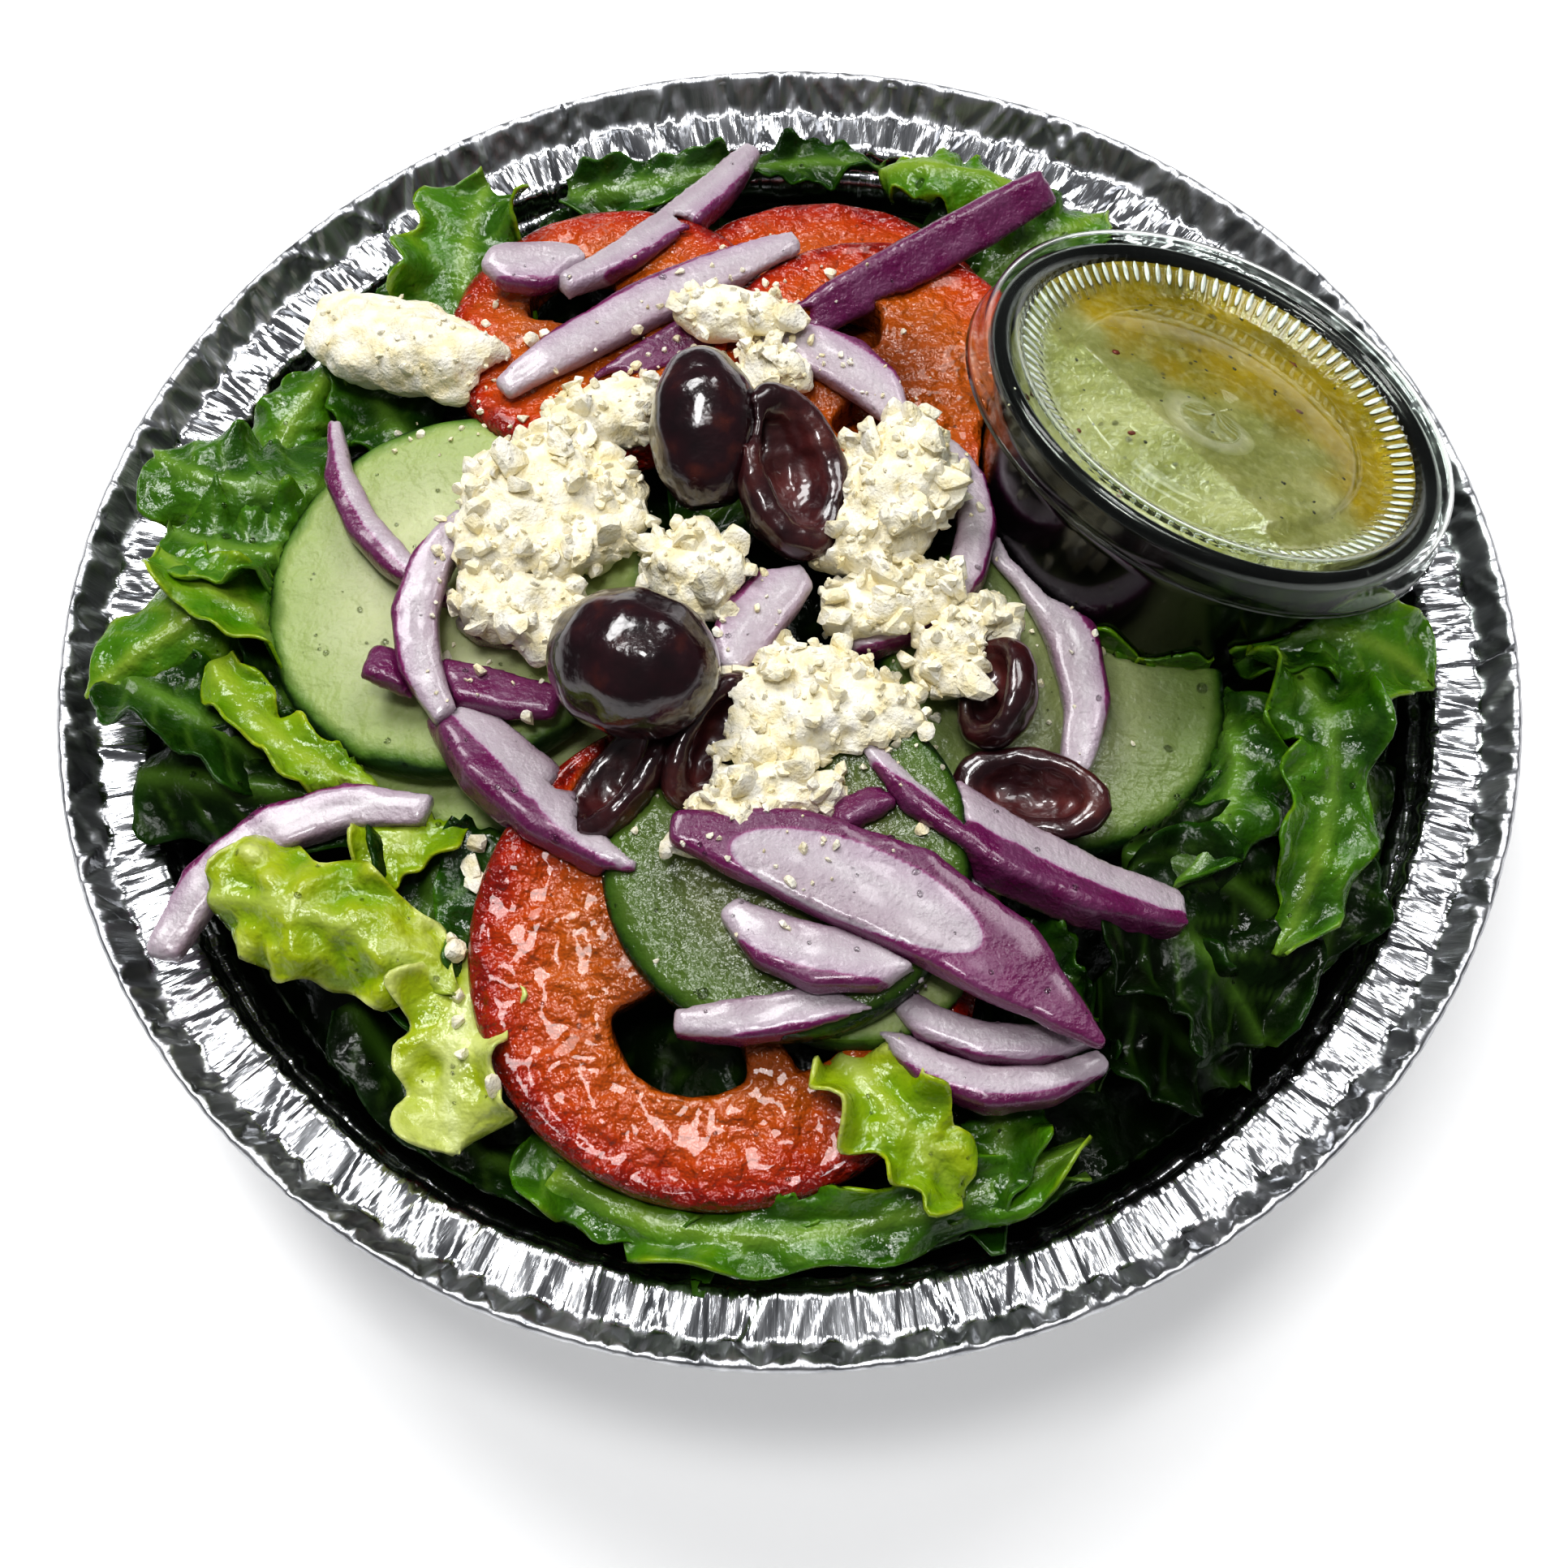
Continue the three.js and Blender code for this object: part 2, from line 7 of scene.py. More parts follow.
import bmesh
import bpy
import numpy as np
from mathutils import Matrix, Vector, noise
from mathutils.bvhtree import BVHTree

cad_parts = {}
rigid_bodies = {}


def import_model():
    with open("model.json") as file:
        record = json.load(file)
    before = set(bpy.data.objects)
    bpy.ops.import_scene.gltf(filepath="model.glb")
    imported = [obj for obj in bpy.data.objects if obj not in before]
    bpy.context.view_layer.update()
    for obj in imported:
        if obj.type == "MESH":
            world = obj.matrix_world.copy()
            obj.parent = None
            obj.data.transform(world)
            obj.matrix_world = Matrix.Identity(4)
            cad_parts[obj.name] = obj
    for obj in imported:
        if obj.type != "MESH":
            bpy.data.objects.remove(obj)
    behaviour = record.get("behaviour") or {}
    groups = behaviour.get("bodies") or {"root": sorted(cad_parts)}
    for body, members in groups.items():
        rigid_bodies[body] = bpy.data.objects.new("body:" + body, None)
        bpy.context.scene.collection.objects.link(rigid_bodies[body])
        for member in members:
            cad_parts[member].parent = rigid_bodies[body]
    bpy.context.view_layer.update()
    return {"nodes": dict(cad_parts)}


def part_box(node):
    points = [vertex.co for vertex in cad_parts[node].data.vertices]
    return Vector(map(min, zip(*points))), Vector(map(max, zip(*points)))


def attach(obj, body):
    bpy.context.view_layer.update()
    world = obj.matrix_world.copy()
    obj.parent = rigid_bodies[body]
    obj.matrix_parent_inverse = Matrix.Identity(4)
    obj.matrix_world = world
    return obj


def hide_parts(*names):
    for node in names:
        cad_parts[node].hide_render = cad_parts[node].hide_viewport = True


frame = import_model()

MM = 0.001
NODES = sorted(frame["nodes"])


# ---- Measuring the solids ----


def solid_points(node):
    """The corners of a solid, in millimetres."""
    mesh = frame["nodes"][node].data
    points = np.empty(len(mesh.vertices) * 3)
    mesh.vertices.foreach_get("co", points)
    return points.reshape(-1, 3) / MM


def solid_axis(node):
    """The direction that most of a solid's faces look along, turned upwards: the axis of a disc."""
    mesh = frame["nodes"][node].data
    spread = np.zeros((3, 3))
    for face in mesh.polygons:
        spread += face.area * np.outer(face.normal, face.normal)
    axis = np.linalg.eigh(spread)[1][:, 2]
    return axis if axis[2] > 0 else -axis


def side_axes(axis):
    """Two directions square to an axis and to each other."""
    across = np.cross(axis, (0, 1, 0))
    across /= np.linalg.norm(across)
    return across, np.cross(axis, across)


class Disc:
    """A round solid as measured: the middle of its circle, its axis, its radius and its two ends."""

    def __init__(self, node, axis=None):
        points = solid_points(node)
        self.axis = solid_axis(node) if axis is None else axis
        self.across, self.along = side_axes(self.axis)
        rows, reach = [], []
        for turn in np.linspace(0, 2 * math.pi, 36, endpoint=False):
            way = math.cos(turn) * self.across + math.sin(turn) * self.along
            rows.append((math.cos(turn), math.sin(turn), 1.0))
            reach.append((points @ way).max())
        rows, reach = np.array(rows), np.array(reach)
        weight = np.ones(len(reach))
        for _ in range(12):  # a side that is cut away counts for less each time
            x, y, self.radius = np.linalg.lstsq(rows * weight[:, None], reach * weight, rcond=None)[0]
            weight = 1 / (0.05 + np.abs(rows @ (x, y, self.radius) - reach))
        heights = points @ self.axis
        self.low, self.high = heights.min(), heights.max()
        self.middle = x * self.across + y * self.along + (self.low + self.high) / 2 * self.axis

    def polar(self, points):
        """Each point's distance from the axis, its turn round it and its height along it."""
        offset = points - self.middle
        x, y = offset @ self.across, offset @ self.along
        return np.hypot(x, y), np.arctan2(y, x), offset @ self.axis


# ---- Shaping ----


def smoothstep(value, low, high):
    """0 up to low, 1 from high on, and an easy slope between; low may be the greater."""
    t = np.clip((value - low) / (high - low), 0, 1)
    return t * t * (3 - 2 * t)


def wander(points, scale, seed=0.0):
    """Smooth noise, about -1 to 1, that changes over 1/scale millimetres."""
    shift = Vector((seed * 7.3, seed * 3.1, seed * 5.7))
    return np.array([noise.noise(Vector(p) * scale + shift) for p in points]) * 1.6


def knobs(points, size, seed=0.0):
    """Rounded knobs with creases between them, 0 to about 1, one knob to each size millimetres."""
    shift = Vector((seed * 3.3, seed * 1.7, seed * 2.9))
    nearest = [noise.voronoi(Vector(p) / size + shift)[0][0] for p in points]
    return 1 - np.minimum(np.array(nearest), 1) ** 2


def softened(node, grain, rounds, axes=None):
    """A finer and rounder copy of a solid: its points in millimetres, its outward normals and its faces.
    The rows of axes, if given, are the directions that the finer grid lies along."""
    axes = np.eye(3) if axes is None else axes
    copy = frame["nodes"][node].copy()
    copy.data = copy.data.copy()
    copy.data.transform(Matrix(axes.tolist()).to_4x4())
    copy.parent = None
    copy.hide_viewport = False
    bpy.context.scene.collection.objects.link(copy)
    weld = copy.modifiers.new("weld", "WELD")
    weld.merge_threshold = 0.01 * MM
    even = copy.modifiers.new("even", "REMESH")
    even.mode = "VOXEL"
    even.voxel_size = grain * MM
    round_off = copy.modifiers.new("round_off", "SMOOTH")
    round_off.factor = 0.5
    round_off.iterations = rounds
    shaped = copy.evaluated_get(bpy.context.evaluated_depsgraph_get())
    mesh = shaped.to_mesh()
    points = np.empty(len(mesh.vertices) * 3)
    mesh.vertices.foreach_get("co", points)
    normals = np.empty(len(mesh.vertices) * 3)
    mesh.vertex_normals.foreach_get("vector", normals)
    faces = [tuple(face.vertices) for face in mesh.polygons]
    shaped.to_mesh_clear()
    bpy.data.objects.remove(copy)
    points, normals = points.reshape(-1, 3) / MM @ axes, normals.reshape(-1, 3) @ axes
    shrunk = (np.ptp(solid_points(node), axis=0) - np.ptp(points, axis=0)).mean() / 2
    return points + shrunk * normals, normals, faces


def grid_faces(rows, columns, wrap_rows=False, wrap_columns=True, start=0):
    """Quads over a grid of points stored row by row."""
    faces = []
    for i in range(rows if wrap_rows else rows - 1):
        for j in range(columns if wrap_columns else columns - 1):
            i2, j2 = (i + 1) % rows, (j + 1) % columns
            faces.append(
                (
                    start + i * columns + j,
                    start + i * columns + j2,
                    start + i2 * columns + j2,
                    start + i2 * columns + j,
                )
            )
    return faces


def even_line(corners, steps):
    """Points spread along a line through corners: steps[i] of them on its i-th stretch, and its end."""
    line = []
    for (a, b), count in zip(zip(corners, corners[1:]), steps):
        line += [np.array(a) + (np.array(b) - np.array(a)) * k / count for k in range(count)]
    return np.array(line + [np.array(corners[-1])])


def offset_line(line, thickness):
    """A line of (radius, height) points moved sideways, to its left."""
    way = np.gradient(line, axis=0)
    way /= np.linalg.norm(way, axis=1)[:, None] + 1e-12
    return line + thickness * np.stack((-way[:, 1], way[:, 0]), axis=1)


def facing_out(points, faces):
    """The faces of a closed shape, all turned to face out of it."""
    corners = [(face[0], face[k], face[k + 1]) for face in faces for k in range(1, len(face) - 1)]
    a, b, c = (points[np.array(corners)[:, k]] for k in range(3))
    volume = np.einsum("ij,ij->", a, np.cross(b, c))
    return faces if volume > 0 else [tuple(reversed(face)) for face in faces]


def make_piece(name, points, faces, material, stands_for=(), masks=None):
    """One finished piece from points in millimetres, with its masks, on the salad's one body."""
    mesh = bpy.data.meshes.new(name)
    mesh.from_pydata((np.asarray(points) * MM).tolist(), [], faces)
    for mask, values in (masks or {}).items():
        held = mesh.attributes.new(mask, "FLOAT", "POINT")
        held.data.foreach_set("value", np.asarray(values, np.float32))
    mesh.polygons.foreach_set("use_smooth", [True] * len(mesh.polygons))
    mesh.materials.append(material)
    made = bpy.data.objects.new(name, mesh)
    bpy.context.scene.collection.objects.link(made)
    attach(made, "root")
    if stands_for:
        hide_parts(*stands_for)
    return made


class Heap:
    """Many small shapes gathered into one mesh."""

    def __init__(self):
        self.points, self.faces, self.masks, self.count = [], [], {}, 0

    def add(self, points, faces, **masks):
        faces = facing_out(points, faces)
        self.faces += [tuple(corner + self.count for corner in face) for face in faces]
        self.points.append(points)
        self.count += len(points)
        for name, values in masks.items():
            self.masks.setdefault(name, []).append(np.broadcast_to(values, len(points)))

    def make(self, name, slot, material, stands_for=()):
        masks = {mask: np.concatenate(parts) for mask, parts in self.masks.items()}
        points = np.concatenate(self.points)
        return make_piece(name, points, self.faces, material, stands_for, masks)


def pebble(detail):
    """The points and faces of a unit ball."""
    mesh = bmesh.new()
    bmesh.ops.create_icosphere(mesh, subdivisions=detail, radius=1.0)
    points = np.array([v.co for v in mesh.verts])
    faces = [tuple(v.index for v in f.verts) for f in mesh.faces]
    mesh.free()
    return points, faces


def turn_to(direction, spin):
    """A rotation that takes +Z to a direction, after a spin round it."""
    turn = Vector(direction).to_track_quat("Z", "Y").to_matrix() @ Matrix.Rotation(spin, 3, "Z")
    return np.array(turn)


# ---- Materials ----


def colour(hexadecimal):
    """A linear colour from the usual six hexadecimal digits."""
    parts = [int(hexadecimal[i : i + 2], 16) / 255 for i in (0, 2, 4)]
    return [p / 12.92 if p < 0.04045 else ((p + 0.055) / 1.055) ** 2.4 for p in parts] + [1.0]


def put(tree, kind, name="", **sockets):
    """Adds a shader node. A socket is given a value, or another node's output to link from."""
    made = tree.nodes.new("ShaderNode" + kind)
    made.label = name
    for key, value in sockets.items():
        plug = made.inputs[int(key[1:])] if key[1:].isdigit() else made.inputs[key.replace("_", " ")]
        if isinstance(value, bpy.types.NodeSocket):
            tree.links.new(value, plug)
        else:
            plug.default_value = value
    return made


def math_node(tree, operation, a, b=0.5, clamp=False):
    """Adds a sum of two numbers or outputs and returns its result."""
    made = put(tree, "Math", operation, i0=a, i1=b)
    made.operation = operation
    made.use_clamp = clamp
    return made.outputs[0]


def mix_colour(tree, share, a, b, blend="MIX"):
    """Mixes two colours by a share and returns the mix."""
    made = put(tree, "Mix", blend)
    made.data_type = "RGBA"
    made.blend_type = blend
    for plug, value in ((made.inputs[0], share), (made.inputs[6], a), (made.inputs[7], b)):
        if isinstance(value, bpy.types.NodeSocket):
            tree.links.new(value, plug)
        else:
            plug.default_value = value
    return made.outputs[2]


def ramp(tree, value, stops):
    """A run of colours: stops are (place, six hexadecimal digits)."""
    made = put(tree, "ValToRGB", "colour run", Fac=value)
    band = made.color_ramp
    while len(band.elements) < len(stops):
        band.elements.new(0.5)
    for held, (place, tint) in zip(band.elements, stops):
        held.position = place
        held.color = colour(tint)
    return made.outputs["Color"]


def mask(tree, name):
    """Reads one of a piece's own masks, which make_piece stores."""
    made = put(tree, "Attribute", name)
    made.attribute_name = name
    return made.outputs["Fac"]


def new_group(name, inputs, outputs):
    """An empty shader group with number sockets. Returns it with its two end nodes."""
    group = bpy.data.node_groups.new(name, "ShaderNodeTree")
    for label, value in inputs.items():
        made = group.interface.new_socket(label, in_out="INPUT", socket_type="NodeSocketFloat")
        made.default_value = value
    for label in outputs:
        group.interface.new_socket(label, in_out="OUTPUT", socket_type="NodeSocketFloat")
    return group, group.nodes.new("NodeGroupInput"), group.nodes.new("NodeGroupOutput")


def mottle_group():
    """Cloudy variation, 0 to 1, over the object."""
    group, given, result = new_group("Mottle", {"Scale": 200, "Low": 0.35, "High": 0.65}, ["Amount"])
    place = put(group, "TexCoord")
    cloud = put(group, "TexNoise", Vector=place.outputs["Object"], Scale=given.outputs["Scale"], Detail=4.0)
    spread = put(
        group,
        "MapRange",
        Value=cloud.outputs[0],
        From_Min=given.outputs["Low"],
        From_Max=given.outputs["High"],
    )
    group.links.new(spread.outputs[0], result.inputs["Amount"])
    return group


def relief_group():
    """The height of an uneven wet surface: broad swells and fine grain, each with its own share."""
    sockets = {"Broad Scale": 150, "Broad Share": 1.0, "Fine Scale": 900, "Fine Share": 0.3}
    group, given, result = new_group("Wet Relief", sockets, ["Height"])
    place = put(group, "TexCoord")
    heights = []
    for size in ("Broad", "Fine"):
        cloud = put(
            group,
            "TexNoise",
            size,
            Vector=place.outputs["Object"],
            Scale=given.outputs[size + " Scale"],
            Detail=3.0,
        )
        heights.append(math_node(group, "MULTIPLY", cloud.outputs[0], given.outputs[size + " Share"]))
    group.links.new(math_node(group, "ADD", *heights), result.inputs["Height"])
    return group


MOTTLE = mottle_group()
RELIEF = relief_group()


def use_group(tree, group, **sockets):
    """Places a shared group in a material with its own values, and returns what it puts out."""
    made = tree.nodes.new("ShaderNodeGroup")
    made.node_tree = group
    for key, value in sockets.items():
        plug = made.inputs[key.replace("_", " ")]
        if isinstance(value, bpy.types.NodeSocket):
            tree.links.new(value, plug)
        else:
            plug.default_value = value
    return made.outputs[0]


def new_material(name, **plain):
    """A material whose shader has these plain values. Returns it, its tree and its shader."""
    material = bpy.data.materials.new(name)
    material.use_nodes = True
    tree = material.node_tree
    shader = tree.nodes["Principled BSDF"]
    for key, value in plain.items():
        shader.inputs[key.replace("_", " ")].default_value = value
    return material, tree, shader


def give(tree, shader, **sockets):
    """Links outputs to a shader's sockets."""
    for key, value in sockets.items():
        tree.links.new(value, shader.inputs[key.replace("_", " ")])


def bumped(tree, height, depth, strength=1.0):
    """A normal from a height. The depth is in millimetres."""
    made = put(tree, "Bump", Height=height, Distance=depth * MM, Strength=strength)
    return made.outputs["Normal"]


def foil_material():
    """Bright rolled foil with fine folds along its crimps, duller on the flared flange."""
    material, tree, shader = new_material("crimped foil", Metallic=1.0)
    line = put(tree, "CombineXYZ", "along the pleats", X=mask(tree, "around"), Y=mask(tree, "outwards"))
    fold = put(tree, "TexNoise", "fine folds", Vector=line.outputs[0], Scale=1.0, Detail=3.0)
    smear = put(tree, "TexNoise", "rolled sheen", Vector=line.outputs[0], Scale=0.35, Detail=2.0)
    tint = ramp(tree, smear.outputs[0], [(0.3, "a6a8ac"), (0.7, "dfe0e3")])
    sheen = put(tree, "MapRange", "sheen", Value=smear.outputs[0], To_Min=0.1, To_Max=0.26)
    dulled = math_node(tree, "MULTIPLY", mask(tree, "flange"), 0.2)
    give(tree, shader, Base_Color=tint, Roughness=math_node(tree, "ADD", sheen.outputs[0], dulled))
    give(tree, shader, Normal=bumped(tree, fold.outputs[0], 0.22))
    return material


def leaf_material(name, gloss):
    """Wet romaine, from dark green to pale yellow by its tone, with paler ribs and veins. The darkest tones
    are painted shade.
    """
    material, tree, shader = new_material(name, Coat_Roughness=0.06, Specular_IOR_Level=gloss)
    cloud = use_group(tree, MOTTLE, Scale=130.0)
    vein = mask(tree, "vein")
    depth = math_node(tree, "ADD", mask(tree, "tone"), math_node(tree, "MULTIPLY", cloud, 0.1))
    green = ramp(
        tree,
        depth,
        [
            (0.0, "060d02"), (0.22, "0f2404"), (0.42, "224a08"), (0.62, "4c800a"),
            (0.78, "84a406"), (0.9, "a8b81a"), (1.0, "cfd87c"),
        ],
    )
    pale = ramp(tree, depth, [(0.0, "2c4d12"), (0.5, "6f9636"), (0.8, "a3b83a"), (1.0, "d3dc92")])
    share = math_node(tree, "MULTIPLY", vein, 0.75)
    give(tree, shader, Base_Color=mix_colour(tree, share, green, pale))
    rough = put(tree, "MapRange", Value=cloud, To_Min=0.13, To_Max=0.36)
    height = use_group(tree, RELIEF, Broad_Scale=260.0, Broad_Share=1.0, Fine_Scale=1000.0, Fine_Share=0.18)
    shaded = dict(Value=depth, From_Min=0.1, From_Max=0.4)
    calm = put(tree, "MapRange", "less relief in the dark", **shaded, To_Min=0.3)
    wet = put(tree, "MapRange", "wetter in the light", **shaded, To_Max=0.22)
    height = math_node(tree, "MULTIPLY", height, calm.outputs[0])
    give(tree, shader, Coat_Weight=wet.outputs[0])
    give(tree, shader, Roughness=rough.outputs[0], Normal=bumped(tree, height, 1.0))
    return material


def tomato_material():
    """Wet tomato flesh, orange inside and red at the skin."""
    material, tree, shader = new_material(
        "wet tomato", Coat_Weight=0.4, Coat_Roughness=0.03, Specular_IOR_Level=0.6
    )
    cloud = use_group(tree, MOTTLE, Scale=240.0, Low=0.3, High=0.7)
    place = math_node(tree, "ADD", mask(tree, "rim"), math_node(tree, "MULTIPLY", cloud, 0.1))
    flesh = ramp(
        tree,
        place,
        [
            (0.0, "4a1c06"), (0.35, "9c4a10"), (0.62, "c46014"),
            (0.86, "c64a0a"), (0.97, "ae2604"), (1.0, "8c1604"),
        ],
    )
    give(tree, shader, Base_Color=flesh)
    rough = put(tree, "MapRange", Value=cloud, To_Min=0.05, To_Max=0.14)
    height = use_group(tree, RELIEF, Broad_Scale=330.0, Broad_Share=1.0, Fine_Scale=900.0, Fine_Share=0.2)
    give(tree, shader, Roughness=rough.outputs[0], Normal=bumped(tree, height, 2.4))
    return material


def cucumber_material():
    """Cucumber flesh under a dark green skin, from cloudy to glassy."""
    material, tree, shader = new_material(
        "wet cucumber", Subsurface_Weight=0.2, Subsurface_Scale=0.004, Specular_IOR_Level=0.45
    )
    shader.inputs["Subsurface Radius"].default_value = (0.7, 1.0, 0.4)
    cloud = use_group(tree, MOTTLE, Scale=160.0, Low=0.3, High=0.7)
    place = math_node(tree, "ADD", mask(tree, "rim"), math_node(tree, "MULTIPLY", cloud, 0.05))
    flesh = ramp(
        tree,
        place,
        [
            (0.0, "b2bb84"), (0.45, "c4cb9a"), (0.62, "afba82"),
            (0.9, "a2b46c"), (0.965, "5f8230"), (1.0, "183a0e"),
        ],
    )
    glassy = ramp(
        tree,
        place,
        [
            (0.0, "626d35"), (0.5, "5c6830"), (0.62, "485a22"),
            (0.9, "4c6820"), (0.965, "3c5c16"), (1.0, "102a08"),
        ],
    )
    give(tree, shader, Base_Color=mix_colour(tree, mask(tree, "clear"), flesh, glassy))
    wet = math_node(tree, "MULTIPLY", mask(tree, "clear"), 0.3)
    rough = put(tree, "MapRange", Value=cloud, To_Min=0.42, To_Max=0.52)
    sheen = math_node(tree, "SUBTRACT", rough.outputs[0], wet)
    height = use_group(tree, RELIEF, Broad_Scale=300.0, Broad_Share=0.6, Fine_Scale=1000.0, Fine_Share=0.2)
    give(tree, shader, Roughness=sheen, Normal=bumped(tree, height, 1.0))
    return material


def onion_material():
    """Onion flesh turning into purple skin across the strip, with fibres along it."""
    material, tree, shader = new_material(
        "red onion", Coat_Weight=0.6, Coat_Roughness=0.14, Subsurface_Weight=0.15, Subsurface_Scale=0.003
    )
    shader.inputs["Subsurface Radius"].default_value = (1.0, 0.7, 0.9)
    line = put(tree, "CombineXYZ", "along the layer", X=mask(tree, "along"), Y=mask(tree, "skin"))
    fibre = put(tree, "TexNoise", "fibres", Vector=line.outputs[0], Scale=1.0, Detail=2.0)
    cloud = use_group(tree, MOTTLE, Scale=260.0)
    shade = math_node(tree, "SUBTRACT", fibre.outputs[0], 0.5)
    place = math_node(tree, "ADD", mask(tree, "skin"), math_node(tree, "MULTIPLY", shade, 0.16))
    flesh = ramp(
        tree,
        place,
        [
            (0.0, "9d8493"), (0.1, "b8a9b1"), (0.35, "c9bfc5"),
            (0.64, "b79db1"), (0.78, "8c2c6e"), (0.95, "68104e"),
        ],
    )
    tint = mix_colour(tree, math_node(tree, "MULTIPLY", cloud, 0.22), flesh, colour("8c6a86"))
    give(tree, shader, Base_Color=tint)
    rough = put(tree, "MapRange", Value=cloud, To_Min=0.22, To_Max=0.4)
    height = use_group(tree, RELIEF, Broad_Scale=300.0, Broad_Share=0.8, Fine_Scale=1500.0, Fine_Share=0.4)
    give(tree, shader, Roughness=rough.outputs[0], Normal=bumped(tree, height, 0.6))
    return material


def olive_material():
    """Aubergine skin, and browner flesh where an olive is torn open."""
    material, tree, shader = new_material("cured olive", Coat_Weight=0.9, Coat_Roughness=0.08)
    cloud = use_group(tree, MOTTLE, Scale=190.0, Low=0.38, High=0.72)
    skin = ramp(tree, cloud, [(0.0, "1c0a10"), (0.55, "2c1017"), (1.0, "4d2019")])
    flesh = ramp(tree, cloud, [(0.0, "38151a"), (1.0, "6a3230")])
    give(tree, shader, Base_Color=mix_colour(tree, mask(tree, "inside"), skin, flesh))
    rough = put(tree, "MapRange", Value=mask(tree, "inside"), To_Min=0.2, To_Max=0.36)
    height = use_group(tree, RELIEF, Broad_Scale=170.0, Broad_Share=1.0, Fine_Scale=1200.0, Fine_Share=0.12)
    give(tree, shader, Roughness=rough.outputs[0], Normal=bumped(tree, height, 0.7))
    return material


def feta_material():
    """Soft white cheese."""
    material, tree, shader = new_material(
        "crumbled feta", Coat_Weight=0.1, Coat_Roughness=0.4, Specular_IOR_Level=0.3
    )
    cloud = use_group(tree, MOTTLE, Scale=420.0)
    give(tree, shader, Base_Color=ramp(tree, cloud, [(0.0, "f4e8bf"), (0.5, "fcf5dc"), (1.0, "fffbee")]))
    rough = put(tree, "MapRange", Value=cloud, To_Min=0.5, To_Max=0.75)
    height = use_group(tree, RELIEF, Broad_Scale=500.0, Broad_Share=1.0, Fine_Scale=2200.0, Fine_Share=0.4)
    give(tree, shader, Roughness=rough.outputs[0], Normal=bumped(tree, height, 0.6))
    return material


def cup_material():
    """Black moulded plastic."""
    material, tree, shader = new_material("black cup", Coat_Weight=0.3, Coat_Roughness=0.05)
    cloud = use_group(tree, MOTTLE, Scale=90.0)
    give(tree, shader, Base_Color=ramp(tree, cloud, [(0.0, "050505"), (1.0, "0c0c0d")]))
    rough = put(tree, "MapRange", Value=cloud, To_Min=0.12, To_Max=0.2)
    give(tree, shader, Roughness=rough.outputs[0])
    return material


def lid_material():
    """Thin clear plastic that lets light through to what is under it."""
    material, tree, shader = new_material(
        "clear lid", Transmission_Weight=1.0, IOR=1.25, Base_Color=colour("f2f7f2")
    )
    cloud = use_group(tree, MOTTLE, Scale=120.0)
    rough = put(tree, "MapRange", Value=cloud, To_Min=0.02, To_Max=0.06)
    give(tree, shader, Roughness=rough.outputs[0])
    passing = put(tree, "BsdfTransparent", "light goes through", Color=colour("eef3ee"))
    either = put(tree, "MixShader", Fac=put(tree, "LightPath").outputs["Is Shadow Ray"])
    tree.links.new(shader.outputs[0], either.inputs[1])
    tree.links.new(passing.outputs[0], either.inputs[2])
    tree.links.new(either.outputs[0], tree.nodes["Material Output"].inputs["Surface"])
    return material


def rib_highlight_material():
    """The crests of the lid's ribs, painted pale to stand for the highlights on them."""
    material, tree, shader = new_material("rib painted as highlight", Transmission_Weight=0.25, IOR=1.45)
    cloud = use_group(tree, MOTTLE, Scale=600.0)
    give(tree, shader, Base_Color=ramp(tree, cloud, [(0.0, "c8ccc6"), (1.0, "f2f4f0")]))
    rough = put(tree, "MapRange", Value=cloud, To_Min=0.15, To_Max=0.35)
    give(tree, shader, Roughness=rough.outputs[0])
    return material


def dressing_material():
    """Cloudy vinegar with clearer oil to one side."""
    material, tree, shader = new_material("oil dressing", Coat_Weight=1.0, Coat_Roughness=0.03)
    cloud = use_group(tree, MOTTLE, Scale=110.0, Low=0.3, High=0.7)
    fleck = use_group(tree, MOTTLE, Scale=700.0, Low=0.45, High=0.7)
    cream = ramp(tree, cloud, [(0.0, "64662f"), (0.5, "787844"), (1.0, "8f8c5e")])
    oil = ramp(tree, cloud, [(0.0, "665800"), (1.0, "8e7800")])
    tint = mix_colour(tree, mask(tree, "oil"), cream, oil)
    flecks = math_node(tree, "MULTIPLY", fleck, 0.14)
    give(tree, shader, Base_Color=mix_colour(tree, flecks, tint, colour("c9c7a2")))
    rough = put(tree, "MapRange", Value=cloud, To_Min=0.08, To_Max=0.22)
    height = use_group(tree, RELIEF, Broad_Scale=160.0, Broad_Share=1.0, Fine_Scale=900.0, Fine_Share=0.2)
    give(tree, shader, Roughness=rough.outputs[0], Normal=bumped(tree, height, 1.2))
    return material


def speck_material(name, dark, light):
    """A dry flake of herb or chilli."""
    material, tree, shader = new_material(name, Coat_Weight=0.4)
    cloud = use_group(tree, MOTTLE, Scale=900.0)
    give(tree, shader, Base_Color=ramp(tree, cloud, [(0.0, dark), (1.0, light)]))
    rough = put(tree, "MapRange", Value=cloud, To_Min=0.3, To_Max=0.6)
    give(tree, shader, Roughness=rough.outputs[0])
    return material


def drop_material():
    """A clear drop."""
    material, tree, shader = new_material("drop of brine", Transmission_Weight=1.0, IOR=1.33)
    cloud = use_group(tree, MOTTLE, Scale=500.0)
    rough = put(tree, "MapRange", Value=cloud, To_Min=0.0, To_Max=0.04)
    give(tree, shader, Roughness=rough.outputs[0])
    return material


